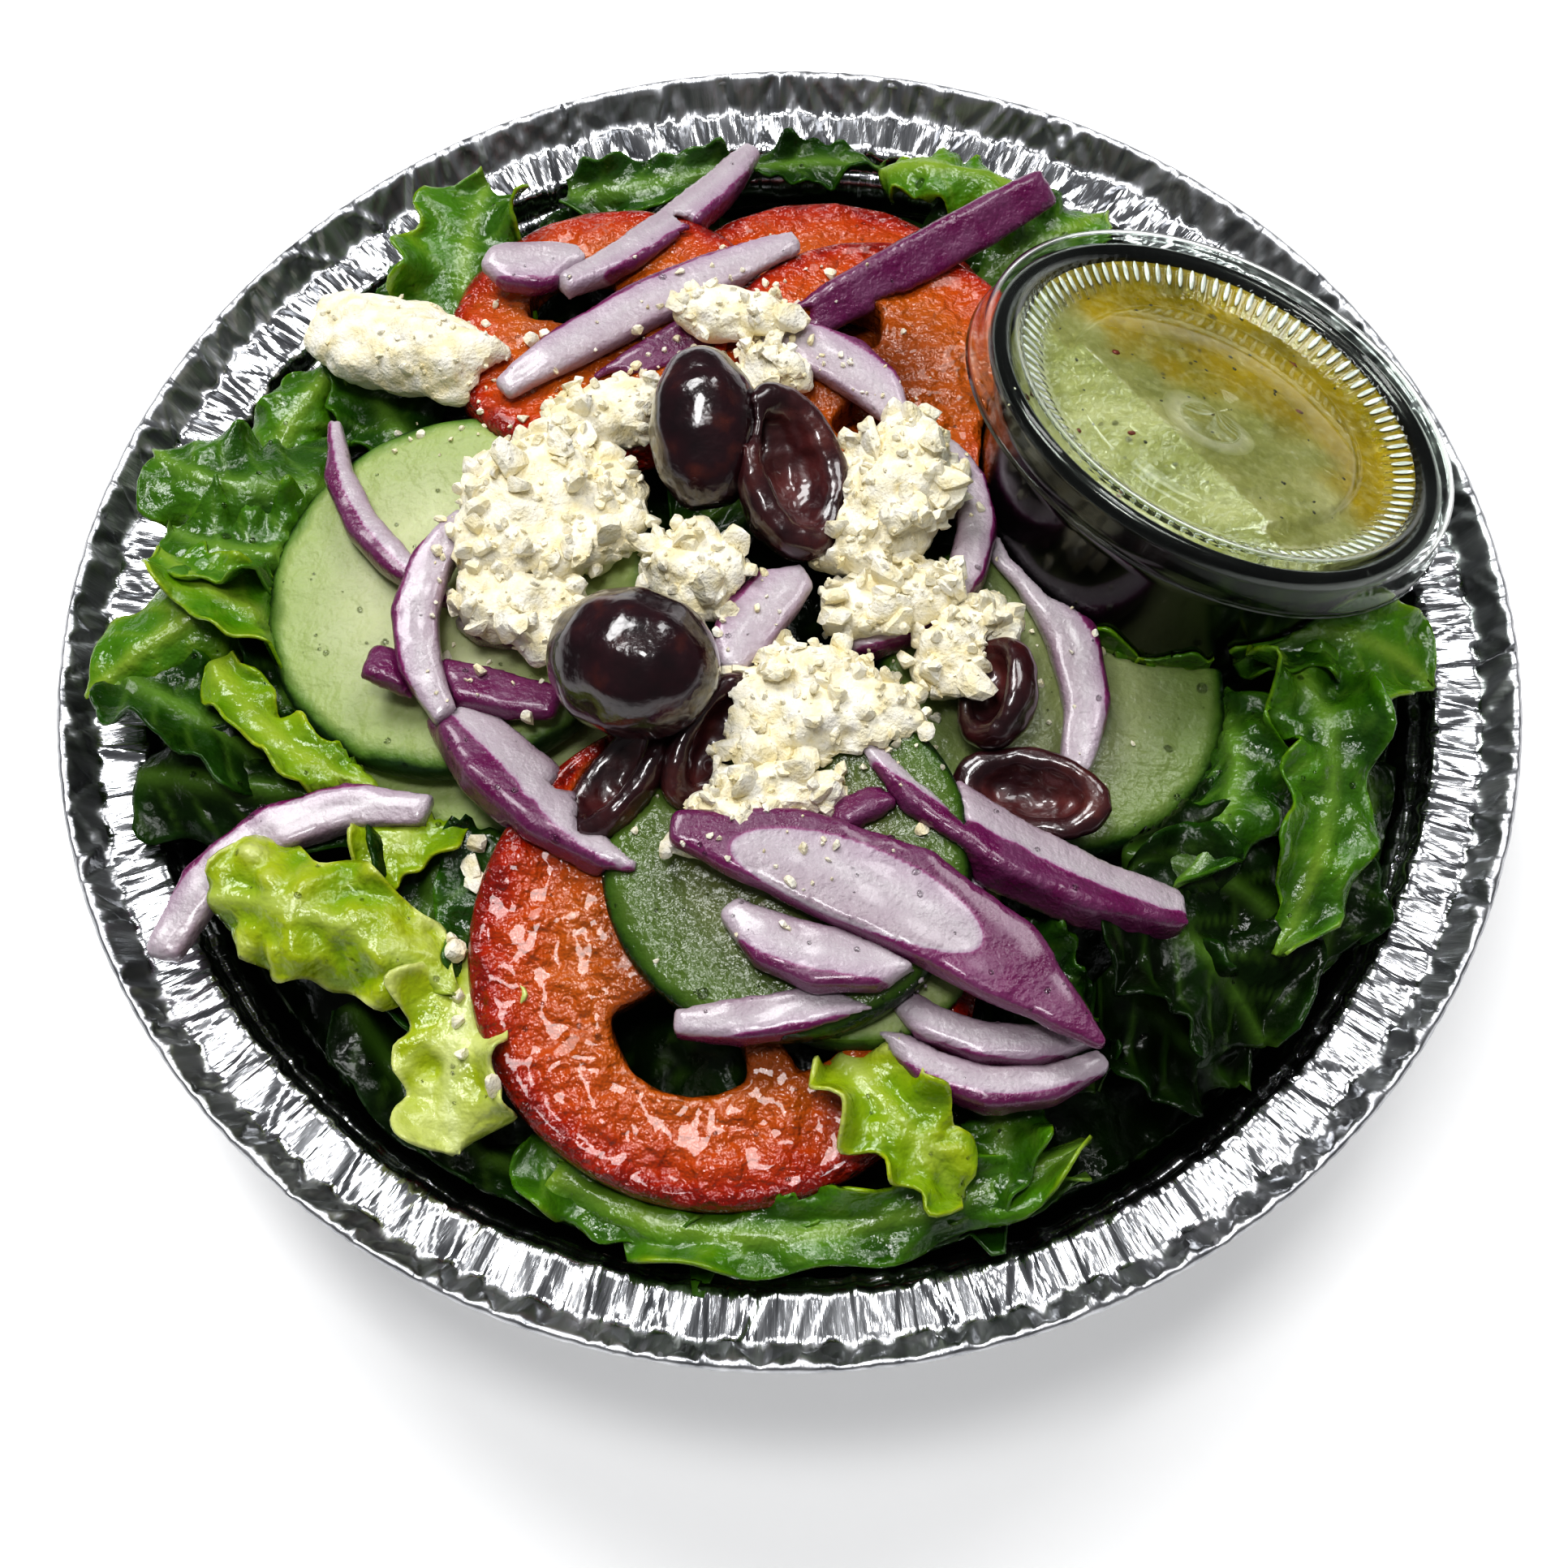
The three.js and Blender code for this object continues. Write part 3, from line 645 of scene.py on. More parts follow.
FOIL = foil_material()
LEAF = leaf_material("wet leaf", 0.5)
# A copy of the wet leaf with less shine, for the leaves and the heap in painted shade.
SHADED_LEAF = leaf_material("leaf_in_painted_shade", 0.22)
TOMATO = tomato_material()
CUCUMBER = cucumber_material()
ONION = onion_material()
OLIVE = olive_material()
FETA = feta_material()
CUP = cup_material()
LID = lid_material()
# the ribs' crests, painted pale as their highlights
RIB_HIGHLIGHT = rib_highlight_material()
DRESSING = dressing_material()
HERB = speck_material("dried herb", "14160a", "2c2a14")
CHILLI = speck_material("red flake", "3a0f08", "7a2a16")
DROP = drop_material()


# ---- The foil pan ----

PAN_LOW, PAN_HIGH = (np.array(corner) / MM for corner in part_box("foil_pan"))
PAN_RADIUS = (PAN_HIGH[0] - PAN_LOW[0]) / 2
RIM_Z = PAN_HIGH[2]
LEDGE_Z = RIM_Z - 4.4
LEDGE_INNER = 0.884 * PAN_RADIUS
LEDGE_OUTER = 0.955 * PAN_RADIUS
BASE_RADIUS = 0.775 * PAN_RADIUS
FLANGE_SLOPE = 1.25  # how steeply leaves over the flange rise with it
FOIL_WALL = 0.3
PAN_SIDES = 1220
# Each set of crimps: the band of foil, how many, their slant in degrees round the pan, their depth in
# millimetres and their half width in degrees.
CRIMPS = (
    ("ledge", 300, 1.6, 0.42, 0.5),
    ("ledge", 110, 1.1, 0.6, 1.1),
    ("flange", 420, 3.0, 0.75, 0.6),
    ("wall", 170, 0, 0.55, 0.9),
    ("rim", 160, 0, 0.16, 0.8),
)


def wall_radius(z):
    """The inner radius of the pan's tapered wall at a height."""
    return BASE_RADIUS + (LEDGE_INNER - 3 - BASE_RADIUS) * np.clip(z / (LEDGE_Z - 5), 0, 1)


def pan_line():
    """The middle of the foil from the middle of the base out to the curl under the rim."""
    corners = [
        (0.01, 1.6),
        (BASE_RADIUS - 15, 1.6),
        (BASE_RADIUS - 13, FOIL_WALL),
        (BASE_RADIUS - 2, FOIL_WALL),
        (BASE_RADIUS + 0.6, 1.8),
        (LEDGE_INNER - 3, LEDGE_Z - 5),
        (LEDGE_INNER - 2, LEDGE_Z - 3.6),
        (LEDGE_INNER - 0.7, LEDGE_Z - 3.2),
        (LEDGE_INNER - 0.1, LEDGE_Z - 0.5),
        (LEDGE_INNER + 0.7, LEDGE_Z),
        (LEDGE_OUTER - 0.2, LEDGE_Z - 0.1),
        (LEDGE_OUTER + 0.6, LEDGE_Z + 0.3),
        (PAN_RADIUS - 1.1, RIM_Z - 0.7),
        (PAN_RADIUS - 0.5, RIM_Z - 0.25),
        (PAN_RADIUS - 0.1, RIM_Z - 0.6),
        (PAN_RADIUS - 0.2, RIM_Z - 1.5),
        (PAN_RADIUS - 0.9, RIM_Z - 1.9),
    ]
    return even_line(corners, [2, 1, 1, 1, 6, 2, 2, 2, 2, 7, 1, 5, 1, 1, 1, 1])


def pleats(turn, out, rng, count, slant, depth, width):
    """Creases in the foil: sharp ridges and valleys at uneven places, each running out at its own slant."""
    height = np.zeros((len(out), len(turn)))
    uneven = np.array([rng.uniform(-0.4, 0.4) for _ in range(count)])
    for place in (np.arange(count) + uneven) * 2 * math.pi / count:
        lean = rng.gauss(0, 1) * slant
        side = rng.choice((-1, 1))
        size = depth * rng.uniform(0.4, 1.2)
        half = width * rng.uniform(0.6, 1.4)
        gap = (turn[None, :] - place - lean * out[:, None] + math.pi) % (2 * math.pi) - math.pi
        height += side * size * np.clip(1 - np.abs(gap) / half, 0, 1)
    return height


def make_pan():
    """The foil pan, one thin wall with its crimps, closed round the base and the curl."""
    rng = random.Random(11)
    line = pan_line()
    turn = np.linspace(0, 2 * math.pi, PAN_SIDES, endpoint=False)
    radius, height = line[:, 0], line[:, 1]
    ledge = np.clip((radius - LEDGE_INNER) / (LEDGE_OUTER - LEDGE_INNER), 0, 1)
    flange = np.clip((radius - LEDGE_OUTER) / (PAN_RADIUS - LEDGE_OUTER), 0, 1)
    wall = np.clip((height - 2) / (LEDGE_Z - 7), 0, 1)
    on_ledge = (radius > LEDGE_INNER + 0.3) & (radius <= LEDGE_OUTER + 0.3)
    on_flange = radius > LEDGE_OUTER + 0.3
    on_wall = (height > 1.7) & (radius < LEDGE_INNER + 0.3)
    bands = {  # how strongly each row of the foil takes a band's crimps, and how far out in the band it is
        "ledge": (on_ledge, ledge),
        "flange": (on_flange * smoothstep(flange, 1.0, 0.7), flange),
        "wall": (on_wall * wall, 0 * wall),
        "rim": (flange > 0.8, 0 * flange),
    }
    crimped = {band: 0.0 for band in bands}
    for band, count, slant, depth, width in CRIMPS:
        strength, out = bands[band]
        creases = pleats(turn, out, rng, count, math.radians(slant), depth, math.radians(width))
        crimped[band] = crimped[band] + strength[:, None] * creases
    rim = crimped.pop("rim")
    relief = sum(crimped.values())
    way = np.gradient(line, axis=0)
    way /= np.linalg.norm(way, axis=1)[:, None]
    sides = []
    for offset in (FOIL_WALL / 2, -FOIL_WALL / 2):
        r = radius[:, None] - way[:, 1:] * (relief * 0.8 + offset) - 0.6 * np.abs(rim)
        z = height[:, None] + way[:, :1] * (relief * 0.8 + offset)
        sides.append(np.stack((r * np.cos(turn), r * np.sin(turn), z + 0 * r), axis=2))
    points = np.concatenate((sides[0], sides[1][::-1]))
    rows = len(points)
    length = np.concatenate(((0,), np.cumsum(np.linalg.norm(np.diff(line, axis=0), axis=1))))
    length = np.concatenate((length, length[::-1]))
    masks = {
        "around": np.tile(turn * PAN_RADIUS * 0.9, rows),
        "outwards": np.repeat(length * 0.12, PAN_SIDES),
        "flange": np.repeat(np.concatenate((on_flange, on_flange[::-1])), PAN_SIDES),
    }
    points = points.reshape(-1, 3)
    faces = facing_out(points, grid_faces(rows, PAN_SIDES, wrap_rows=True))
    make_piece("crimped_foil_pan", points, faces, FOIL, ["foil_pan"], masks)


# ---- The cup of dressing ----

LID_DISC = Disc("cup_lid")
CUP_DISC = Disc("dressing_cup", LID_DISC.axis)
CUP_TOP = CUP_DISC.middle + CUP_DISC.axis * (CUP_DISC.high - CUP_DISC.middle @ CUP_DISC.axis)
CUP_RIM = CUP_DISC.radius - 0.4
CUP_DEPTH = CUP_DISC.high - CUP_DISC.low
RIB_COUNT = 96


def cup_points(line, sides, relief=None):
    """A line of (radius, height over the cup's rim) points turned round the cup's axis."""
    turn = np.linspace(0, 2 * math.pi, sides, endpoint=False)
    radius = np.repeat(line[:, 0:1], sides, axis=1)
    height = np.repeat(line[:, 1:2], sides, axis=1)
    if relief is not None:
        height = height + relief(radius, turn[None, :])
    x, y = radius * np.cos(turn), radius * np.sin(turn)
    points = (
        CUP_TOP
        + np.multiply.outer(x, CUP_DISC.across)
        + np.multiply.outer(y, CUP_DISC.along)
        + np.multiply.outer(height, CUP_DISC.axis)
    )
    return points.reshape(-1, 3)


def closed_shell(line, thickness):
    """A thin wall round a line of (radius, height) points, as one closed line."""
    return np.concatenate((offset_line(line, thickness / 2), offset_line(line, -thickness / 2)[::-1]))


def make_cup():
    """The thin black cup."""
    line = even_line(
        [
            (0.01, 0.7 - CUP_DEPTH),
            (CUP_RIM - 11, 0.7 - CUP_DEPTH),
            (CUP_RIM - 9, 1.2 - CUP_DEPTH),
            (CUP_RIM - 8.3, 2.6 - CUP_DEPTH),
            (CUP_RIM - 3.6, -7.6),
            (CUP_RIM - 2.9, -7.2),
            (CUP_RIM - 2.3, -2.6),
            (CUP_RIM - 1.9, -1.0),
            (CUP_RIM - 1.0, -0.45),
            (CUP_RIM - 0.2, -0.8),
            (CUP_RIM, -2.2),
        ],
        [2, 2, 2, 8, 2, 4, 2, 2, 2, 3],
    )
    shell = closed_shell(line, 0.7)
    points = cup_points(shell, 128)
    faces = facing_out(points, grid_faces(len(shell), 128, wrap_rows=True))
    make_piece("black_cup", points, faces, CUP, ["dressing_cup"])


def rib_relief(radius, turn):
    """Radial ribs on the slope round the lid's sunk panel."""
    on_slope = smoothstep(radius, CUP_RIM - 7.4, CUP_RIM - 6.6)
    on_slope = on_slope * smoothstep(radius, CUP_RIM - 3.0, CUP_RIM - 3.6)
    return on_slope * 0.32 * (0.5 + 0.5 * np.cos(RIB_COUNT * turn))


LID_CORNERS = [
    (0.01, -1.9),
    (CUP_RIM - 11.6, -1.9),
    (CUP_RIM - 10.6, -2.7),
    (CUP_RIM - 7.4, -2.7),
    (CUP_RIM - 6.4, -2.2),
    (CUP_RIM - 3.4, -0.7),
    (CUP_RIM - 2.8, 0.6),
    (CUP_RIM - 1.9, 1.25),
    (CUP_RIM + 0.4, 1.2),
    (CUP_RIM + 1.2, 0.4),
    (CUP_RIM + 1.6, -3.2),
    (CUP_RIM + 2.2, -4.7),
]
LID_WALL = 0.4


def make_lid():
    """The clear lid: a sunk panel, a ribbed slope, a raised rim and a skirt."""
    line = even_line(LID_CORNERS, [2, 2, 3, 2, 4, 2, 2, 3, 2, 3, 2])
    sides = RIB_COUNT * 6
    shell = closed_shell(line, LID_WALL)
    points = cup_points(shell, sides, rib_relief)
    faces = facing_out(points, grid_faces(len(shell), sides, wrap_rows=True))
    make_piece("clear_lid", points, faces, LID, ["cup_lid"])


def make_lid_rib_highlights():
    """The crests of the ribs as small pale pieces, painted highlights."""
    ribs = Heap()
    ball, faces = pebble(2)
    axes = np.stack((CUP_DISC.across, CUP_DISC.along, CUP_DISC.axis))
    for k in range(RIB_COUNT):
        turn = 2 * math.pi * k / RIB_COUNT
        out = np.array((math.cos(turn), math.sin(turn), 0))
        side = np.array((-out[1], out[0], 0))
        slope = (out * 3.0 + np.array((0, 0, 1.5))) / math.hypot(3.0, 1.5)
        up = np.cross(slope, side)
        stretched = np.outer(ball[:, 0] * 1.5, slope) + np.outer(ball[:, 1] * 0.36, side)
        local = (CUP_RIM - 4.9) * out + np.array((0, 0, -1.15)) + stretched + np.outer(ball[:, 2] * 0.14, up)
        ribs.add(CUP_TOP + local @ axes, faces)
    ribs.make("lid_rib_highlights", "lid", RIB_HIGHLIGHT)


def dressing_top(x, y):
    """The height of the dressing in the cup's own frame: level, or pressed against the lid."""
    level = solid_points("dressing")[:, 2].max() + 0.3
    tilt = CUP_DISC.across[2] * x + CUP_DISC.along[2] * y
    flat = (level - CUP_TOP[2] - tilt) / CUP_DISC.axis[2]
    corners = np.array(LID_CORNERS[:6])
    lid = np.interp(np.hypot(x, y), corners[:, 0], corners[:, 1]) - 0.5 * LID_WALL + 0.1
    return np.minimum(flat, lid)


def make_dressing():
    """The dressing: level where it is free and flush with the lid where the cup's lean brings it there."""
    sides = 200
    turn = np.linspace(0, 2 * math.pi, sides, endpoint=False)
    wall = [(0.01, 1.2 - CUP_DEPTH), (CUP_RIM - 10.6, 1.2 - CUP_DEPTH), (CUP_RIM - 8.4, 3.0 - CUP_DEPTH)]
    rings = []
    for radius, height in wall:
        rings.append((radius * np.cos(turn), radius * np.sin(turn), height + 0 * turn))
    top_radius = CUP_RIM - 3.5 + 0 * turn
    for _ in range(4):
        height = dressing_top(top_radius * np.cos(turn), top_radius * np.sin(turn))
        top_radius = np.interp(height, (3.0 - CUP_DEPTH, -7.6), (CUP_RIM - 8.1, CUP_RIM - 3.4))
    for share in np.linspace(1, 0.001, 48):
        x, y = share * top_radius * np.cos(turn), share * top_radius * np.sin(turn)
        rings.append((x, y, dressing_top(x, y)))
    x, y, height = (np.concatenate([ring[k] for ring in rings]) for k in range(3))
    points = (
        CUP_TOP
        + np.outer(x, CUP_DISC.across)
        + np.outer(y, CUP_DISC.along)
        + np.outer(height, CUP_DISC.axis)
    )
    faces = facing_out(points, grid_faces(len(rings), sides))
    toward = (points - CUP_TOP) @ (np.array((0.62, 0.78, 0)))
    streak = wander(points, 0.09, 3) + 0.5 * wander(points, 0.2, 7)
    oil = smoothstep(toward + 5 * streak, -4, 5)
    make_piece("oil_dressing", points, faces, DRESSING, ["dressing"], {"oil": oil})


SPECKS = 64
FLAKE_EVERY = 9  # one speck in so many is a larger red flake


def make_dressing_specks():
    """Dried herb and a few red flakes afloat in the dressing."""
    rng = random.Random(5)
    herb, chilli = Heap(), Heap()
    ball, faces = pebble(1)
    for k in range(SPECKS):
        turn, out = rng.uniform(0, 2 * math.pi), 24 * math.sqrt(rng.random())
        x, y = out * math.cos(turn), out * math.sin(turn)
        afloat = CUP_TOP + x * CUP_DISC.across + y * CUP_DISC.along + dressing_top(x, y) * CUP_DISC.axis
        size = rng.uniform(0.15, 0.4) if k % FLAKE_EVERY else rng.uniform(0.5, 0.95)
        squash = np.array((1, rng.uniform(0.5, 0.9), 0.3)) * size
        local = (ball * squash) @ turn_to(CUP_DISC.axis, rng.uniform(0, 6.3)).T
        (herb if k % FLAKE_EVERY else chilli).add(afloat + local, faces)
    herb.make("herb_specks", "dressing", HERB)
    chilli.make("red_flakes", "dressing", CHILLI)


# ---- Slices ----


def rounded_slice(node, grain):
    """A slice with a truly round edge: its disc, points, normals and faces, and how far out each point is,
    as a share of the radius."""
    disc = Disc(node)
    points, normals, faces = softened(node, grain, 8, np.stack((disc.across, disc.along, disc.axis)))
    radius, turn, height = disc.polar(points)
    edge = smoothstep(radius, 0.955 * disc.radius, 0.982 * disc.radius)
    round_off = 1 - 0.9 * np.clip(np.abs(height) / (disc.high - disc.low) * 2, 0, 1) ** 3 / disc.radius
    target = disc.radius * round_off
    grown = radius + edge * (target - radius)
    points = points + (grown - radius)[:, None] * (
        np.outer(np.cos(turn), disc.across) + np.outer(np.sin(turn), disc.along)
    )
    return disc, points, normals, faces, grown / disc.radius


def make_tomato(node):
    """A tomato slice with uneven wet flesh inside a smooth skin."""
    grain = 0.68
    disc, points, normals, faces, share = rounded_slice(node, grain)
    flat = np.abs(normals @ disc.axis)
    wavy = wander(points, 0.16, 1) * 0.5 + wander(points, 0.42, 2) * 0.22
    inner = 1 - smoothstep(share, 0.9, 0.98)
    points = points + normals * (wavy * inner * (0.35 + 0.65 * flat))[:, None]
    points = points + normals * (-0.35 * smoothstep(share, 0.3, 0.75) * inner * flat)[:, None]
    wall = (1 - flat) * (share < 0.93)
    rim = np.clip(share - 0.28 * wall, 0, 1)
    make_piece(node + "_slice", points, faces, TOMATO, [node], {"rim": rim})


GLASSY = {"cucumber_front": 0.92, "cucumber_right": 0.6}  # slices soaked clear, and how far


def make_cucumber(node):
    """A cucumber slice, a little sunk in its middle."""
    grain = 0.75
    disc, points, normals, faces, share = rounded_slice(node, grain)
    flat = np.abs(normals @ disc.axis)
    dip = -0.25 * smoothstep(share, 0.72, 0.5) + 0.12 * wander(points, 0.35, 4)
    points = points + normals * (dip * flat)[:, None]
    side = np.clip(share - 0.02 + 0.03 * (1 - flat), 0, 1)
    clear = GLASSY.get(node, 0.0)
    masks = {"rim": side, "clear": np.full(len(points), clear)}
    make_piece(node + "_slice", points, faces, CUCUMBER, [node], masks)


# ---- Onion ----

SKIN_UP = ("onion_back_flat", "onion_back_skin", "onion_left_skin", "onion_right_under")
SKIN_BANDS = {  # the share of a strip's width that is purple skin, where it isn't the usual thin edge
    "onion_right_strip": 0.42,
    "onion_front_big": 0.26,
    "onion_big_left": 0.42,
    "onion_left_thin": 0.45,
    "onion_double_outer": 0.3,
    "onion_front_mid": 0.2,
    "onion_front_low": 0.2,
}
THIN_BAND = 0.13


def layer_masks(node, points):
    """How near each point of a strip is to the skin, 0 to 1, and its place along the layer."""
    middle = points.mean(axis=0)
    ways = np.linalg.eigh(np.cov((points - middle).T))[1]
    long, wide, thin = ways[:, 2], ways[:, 1], ways[:, 0]
    x = (points - middle) @ long
    if node in SKIN_UP:
        y = (points - middle) @ (thin if thin[2] > 0 else -thin)
        spine = np.polyval(np.polyfit(x, y, 2), x)
    else:
        y = (points - middle) @ wide
        fit = np.polyfit(x, y, 4)
        if np.polyfit(x, y, 2)[0] > 0:
            y, fit = -y, -fit
        slope = np.polyval(np.polyder(fit), x)
        spine = np.polyval(fit, x)
        y, spine = y / np.hypot(1, slope), spine / np.hypot(1, slope)
    offset = y - spine
    low, high = np.percentile(offset, 2), np.percentile(offset, 98)
    share = np.clip((offset - low) / (high - low), 0, 1)
    band = SKIN_BANDS.get(node, 1.0 if node in SKIN_UP else THIN_BAND)
    purple = smoothstep(share + 0.03 * wander(points, 0.5, 3), 1 - band - 0.05, 1 - band + 0.04)
    if node == "onion_front_big":  # a whole petal: its flesh shows in a window, and its tip is all skin
        ahead = (points - middle) @ np.array((0.79, -0.61, 0))
        window = 1 - ((ahead + 4) / 15) ** 2 - ((share - 0.42) / 0.4) ** 2
        purple = smoothstep(window, 0.1, -0.1)
    return share * 0.7 * (1 - purple) + purple * (0.86 + 0.14 * share), x


def make_onion(node):
    """A strip of onion with its fibres and its purple band."""
    points, normals, faces = softened(node, 0.46, 14)
    skin, along = layer_masks(node, points)
    fibre = 0.1 * wander(np.stack((along * 0.15, skin * 9, 0 * along), axis=1), 1.0, 2)
    points = points + normals * (fibre + 0.14 * wander(points, 0.22, 6))[:, None]
    masks = {"skin": skin, "along": along * 0.25}
    make_piece(node + "_strip", points, faces, ONION, [node], masks)


# ---- Olives ----


HOLLOW_FROM = (0.35, 1.3)  # how far under its hull an olive's flesh starts to show, and shows fully
TORN_BROWN = 0.4  # the least share of flesh colour on a torn olive


def make_olive(node):
    """An olive, wrinkled where it is torn open."""
    points, normals, faces = softened(node, 0.5, 45)
    hull = bmesh.new()
    for p in points[:: max(1, len(points) // 4000)]:
        hull.verts.new(p)
    bmesh.ops.convex_hull(hull, input=hull.verts)
    hull.faces.ensure_lookup_table()
    outside = BVHTree.FromBMesh(hull)
    depth = np.array([outside.find_nearest(Vector(p))[3] for p in points])
    hull.free()
    inside = np.maximum(smoothstep(depth, *HOLLOW_FROM), TORN_BROWN if "torn" in node else 0)
    wrinkle = 0.22 * wander(points, 0.2, 8) + 0.3 * inside * wander(points, 0.5, 9)
    points = points + normals * wrinkle[:, None]
    make_piece(node + "_flesh", points, faces, OLIVE, [node], {"inside": inside})


# ---- Feta ----

CRUMB = pebble(2)
GRIT = pebble(1)
BROKEN_EDGE = math.radians(27)  # edges of feta sharper than this stay crisp


def crumb(rng, size, shape):
    """One broken crumb as points round the origin, with its faces: a ball with flats knocked off it."""
    ball, faces = shape
    lump = ball * (1 + 0.12 * wander(ball, 1.6, rng.uniform(0, 9)))[:, None]
    for _ in range(9):
        way = np.array([rng.gauss(0, 1) for _ in range(3)])
        way /= np.linalg.norm(way)
        proud = np.maximum(lump @ way - rng.uniform(0.35, 0.7), 0)
        lump = lump - 0.9 * np.outer(proud, way)
    stretch = np.array([rng.uniform(0.8, 1.4) for _ in range(3)])
    turn = turn_to((rng.gauss(0, 1), rng.gauss(0, 1), rng.gauss(0, 1)), rng.uniform(0, 6.3))
    return (lump * stretch * size) @ turn.T, faces


def make_feta(node):
    """A broken heap of feta: a rough core with crumbs of every size pressed into it."""
    seed = 3 + NODES.index(node)
    rng = random.Random(seed)
    points, normals, faces = softened(node, 0.65, 3)
    block = node == "feta_block"
    if block:
        rough = 0.6 * wander(points, 0.22, seed) + 0.9 * knobs(points, 3.4, seed)
        rough = rough + 0.35 * knobs(points, 1.5, seed) - 0.8
    else:
        rough = 1.9 * knobs(points, 5.6, seed) + 0.7 * knobs(points, 2.5, seed + 2)
        rough = rough + 0.5 * wander(points, 0.3, seed) - 1.9
    points = points + normals * rough[:, None]
    heap = Heap()
    heap.add(points, faces)
    upward = np.flatnonzero(normals[:, 2] > -0.25)
    box = np.ptp(points, axis=0)
    count = int((0.06 if block else 0.2) * box[0] * box[1])
    for _ in range(count):
        at = upward[rng.randrange(len(upward))]
        size = rng.uniform(0.3, 0.6) if block else min(2.8, rng.lognormvariate(-0.1, 0.55))
        lump, lump_faces = crumb(rng, size, CRUMB if size > 0.6 else GRIT)
        heap.add(points[at] + normals[at] * size * 0.3 + lump, lump_faces)
    made = heap.make(node + "_crumble", "feta", FETA, [node])
    made.data.set_sharp_from_angle(angle=BROKEN_EDGE)


# ---- Lettuce ----

MAKERS = {
    "tomato": make_tomato,
    "cucumber": make_cucumber,
    "onion": make_onion,
    "olive": make_olive,
    "feta": make_feta,
}
TOPPINGS = [node for node in NODES if node.split("_")[0] in MAKERS]
LEAF_GRID = ((40, 25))  # points along a leaf and across it
CELL = 1.0  # spacing of the map of the toppings' undersides
MAP_HALF = 100


def tree_parts(node):
    """A solid's corners and faces in millimetres, for ray casting."""
    mesh = frame["nodes"][node].data
    return [Vector(p) for p in solid_points(node)], [tuple(f.vertices) for f in mesh.polygons]


def underside_map():
    """The lowest height of any topping over each square of the pan, in millimetres."""
    size = int(2 * MAP_HALF / CELL)
    low = np.full((size, size), 999.0)
    for node in TOPPINGS:
        parts = BVHTree.FromPolygons(*tree_parts(node))
        lo, hi = (np.array(corner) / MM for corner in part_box(node))
        for i in range(int((lo[0] + MAP_HALF) / CELL), int((hi[0] + MAP_HALF) / CELL) + 1):
            for j in range(int((lo[1] + MAP_HALF) / CELL), int((hi[1] + MAP_HALF) / CELL) + 1):
                x, y = (i + 0.5) * CELL - MAP_HALF, (j + 0.5) * CELL - MAP_HALF
                hit = parts.ray_cast(Vector((x, y, 0)), Vector((0, 0, 1)))[0]
                if hit is not None:
                    low[i, j] = min(low[i, j], hit.z)
    return low


UNDERSIDE = underside_map()


def tuck_under(points):
    """Presses points down under whatever topping lies over them."""
    i = np.clip(((points[:, 0] + MAP_HALF) / CELL).astype(int), 0, len(UNDERSIDE) - 1)
    j = np.clip(((points[:, 1] + MAP_HALF) / CELL).astype(int), 0, len(UNDERSIDE) - 1)
    points[:, 2] = np.minimum(points[:, 2], UNDERSIDE[i, j] - 0.5)
    return points


def keep_in_pan(points):
    """Keeps points inside the pan's wall, over its ledge and flange, and out of the cup."""
    radius = np.hypot(points[:, 0], points[:, 1])
    sunk = points[:, 2] < LEDGE_Z + 0.6
    limit = wall_radius(points[:, 2]) - 0.7
    shrink = np.where(sunk & (radius > limit) & (radius < LEDGE_INNER + 1.5), limit / radius, 1.0)
    points[:, :2] *= shrink[:, None]
    over = sunk & (radius >= LEDGE_INNER + 1.5)
    points[over, 2] = LEDGE_Z + 0.6
    floor = np.where(radius > LEDGE_OUTER, LEDGE_Z + 0.8 + (radius - LEDGE_OUTER) * FLANGE_SLOPE, -9)
    points[:, 2] = np.maximum(points[:, 2], floor)
    offset = points - CUP_TOP
    height = offset @ CUP_DISC.axis
    out = offset - np.outer(height, CUP_DISC.axis)
    distance = np.linalg.norm(out, axis=1)
    span = np.where(height > -6, LID_DISC.radius + 0.8, CUP_DISC.radius - 2.4 + (height + 6) * 0.25)
    inside = (distance < span) & (height < 3) & (height > CUP_DISC.low - CUP_DISC.high - 1)
    push = np.where(inside, span - distance, 0)
    points += out / (distance[:, None] + 1e-9) * push[:, None]
    return points


def along_curve(stops, count):
    """Points on a smooth curve through three stops."""
    a, b, c = (np.array(stop, float) for stop in stops)
    t = np.linspace(0, 1, count)[:, None]
    return a * (1 - t) * (1 - 2 * t) + b * 4 * t * (1 - t) + c * t * (2 * t - 1)


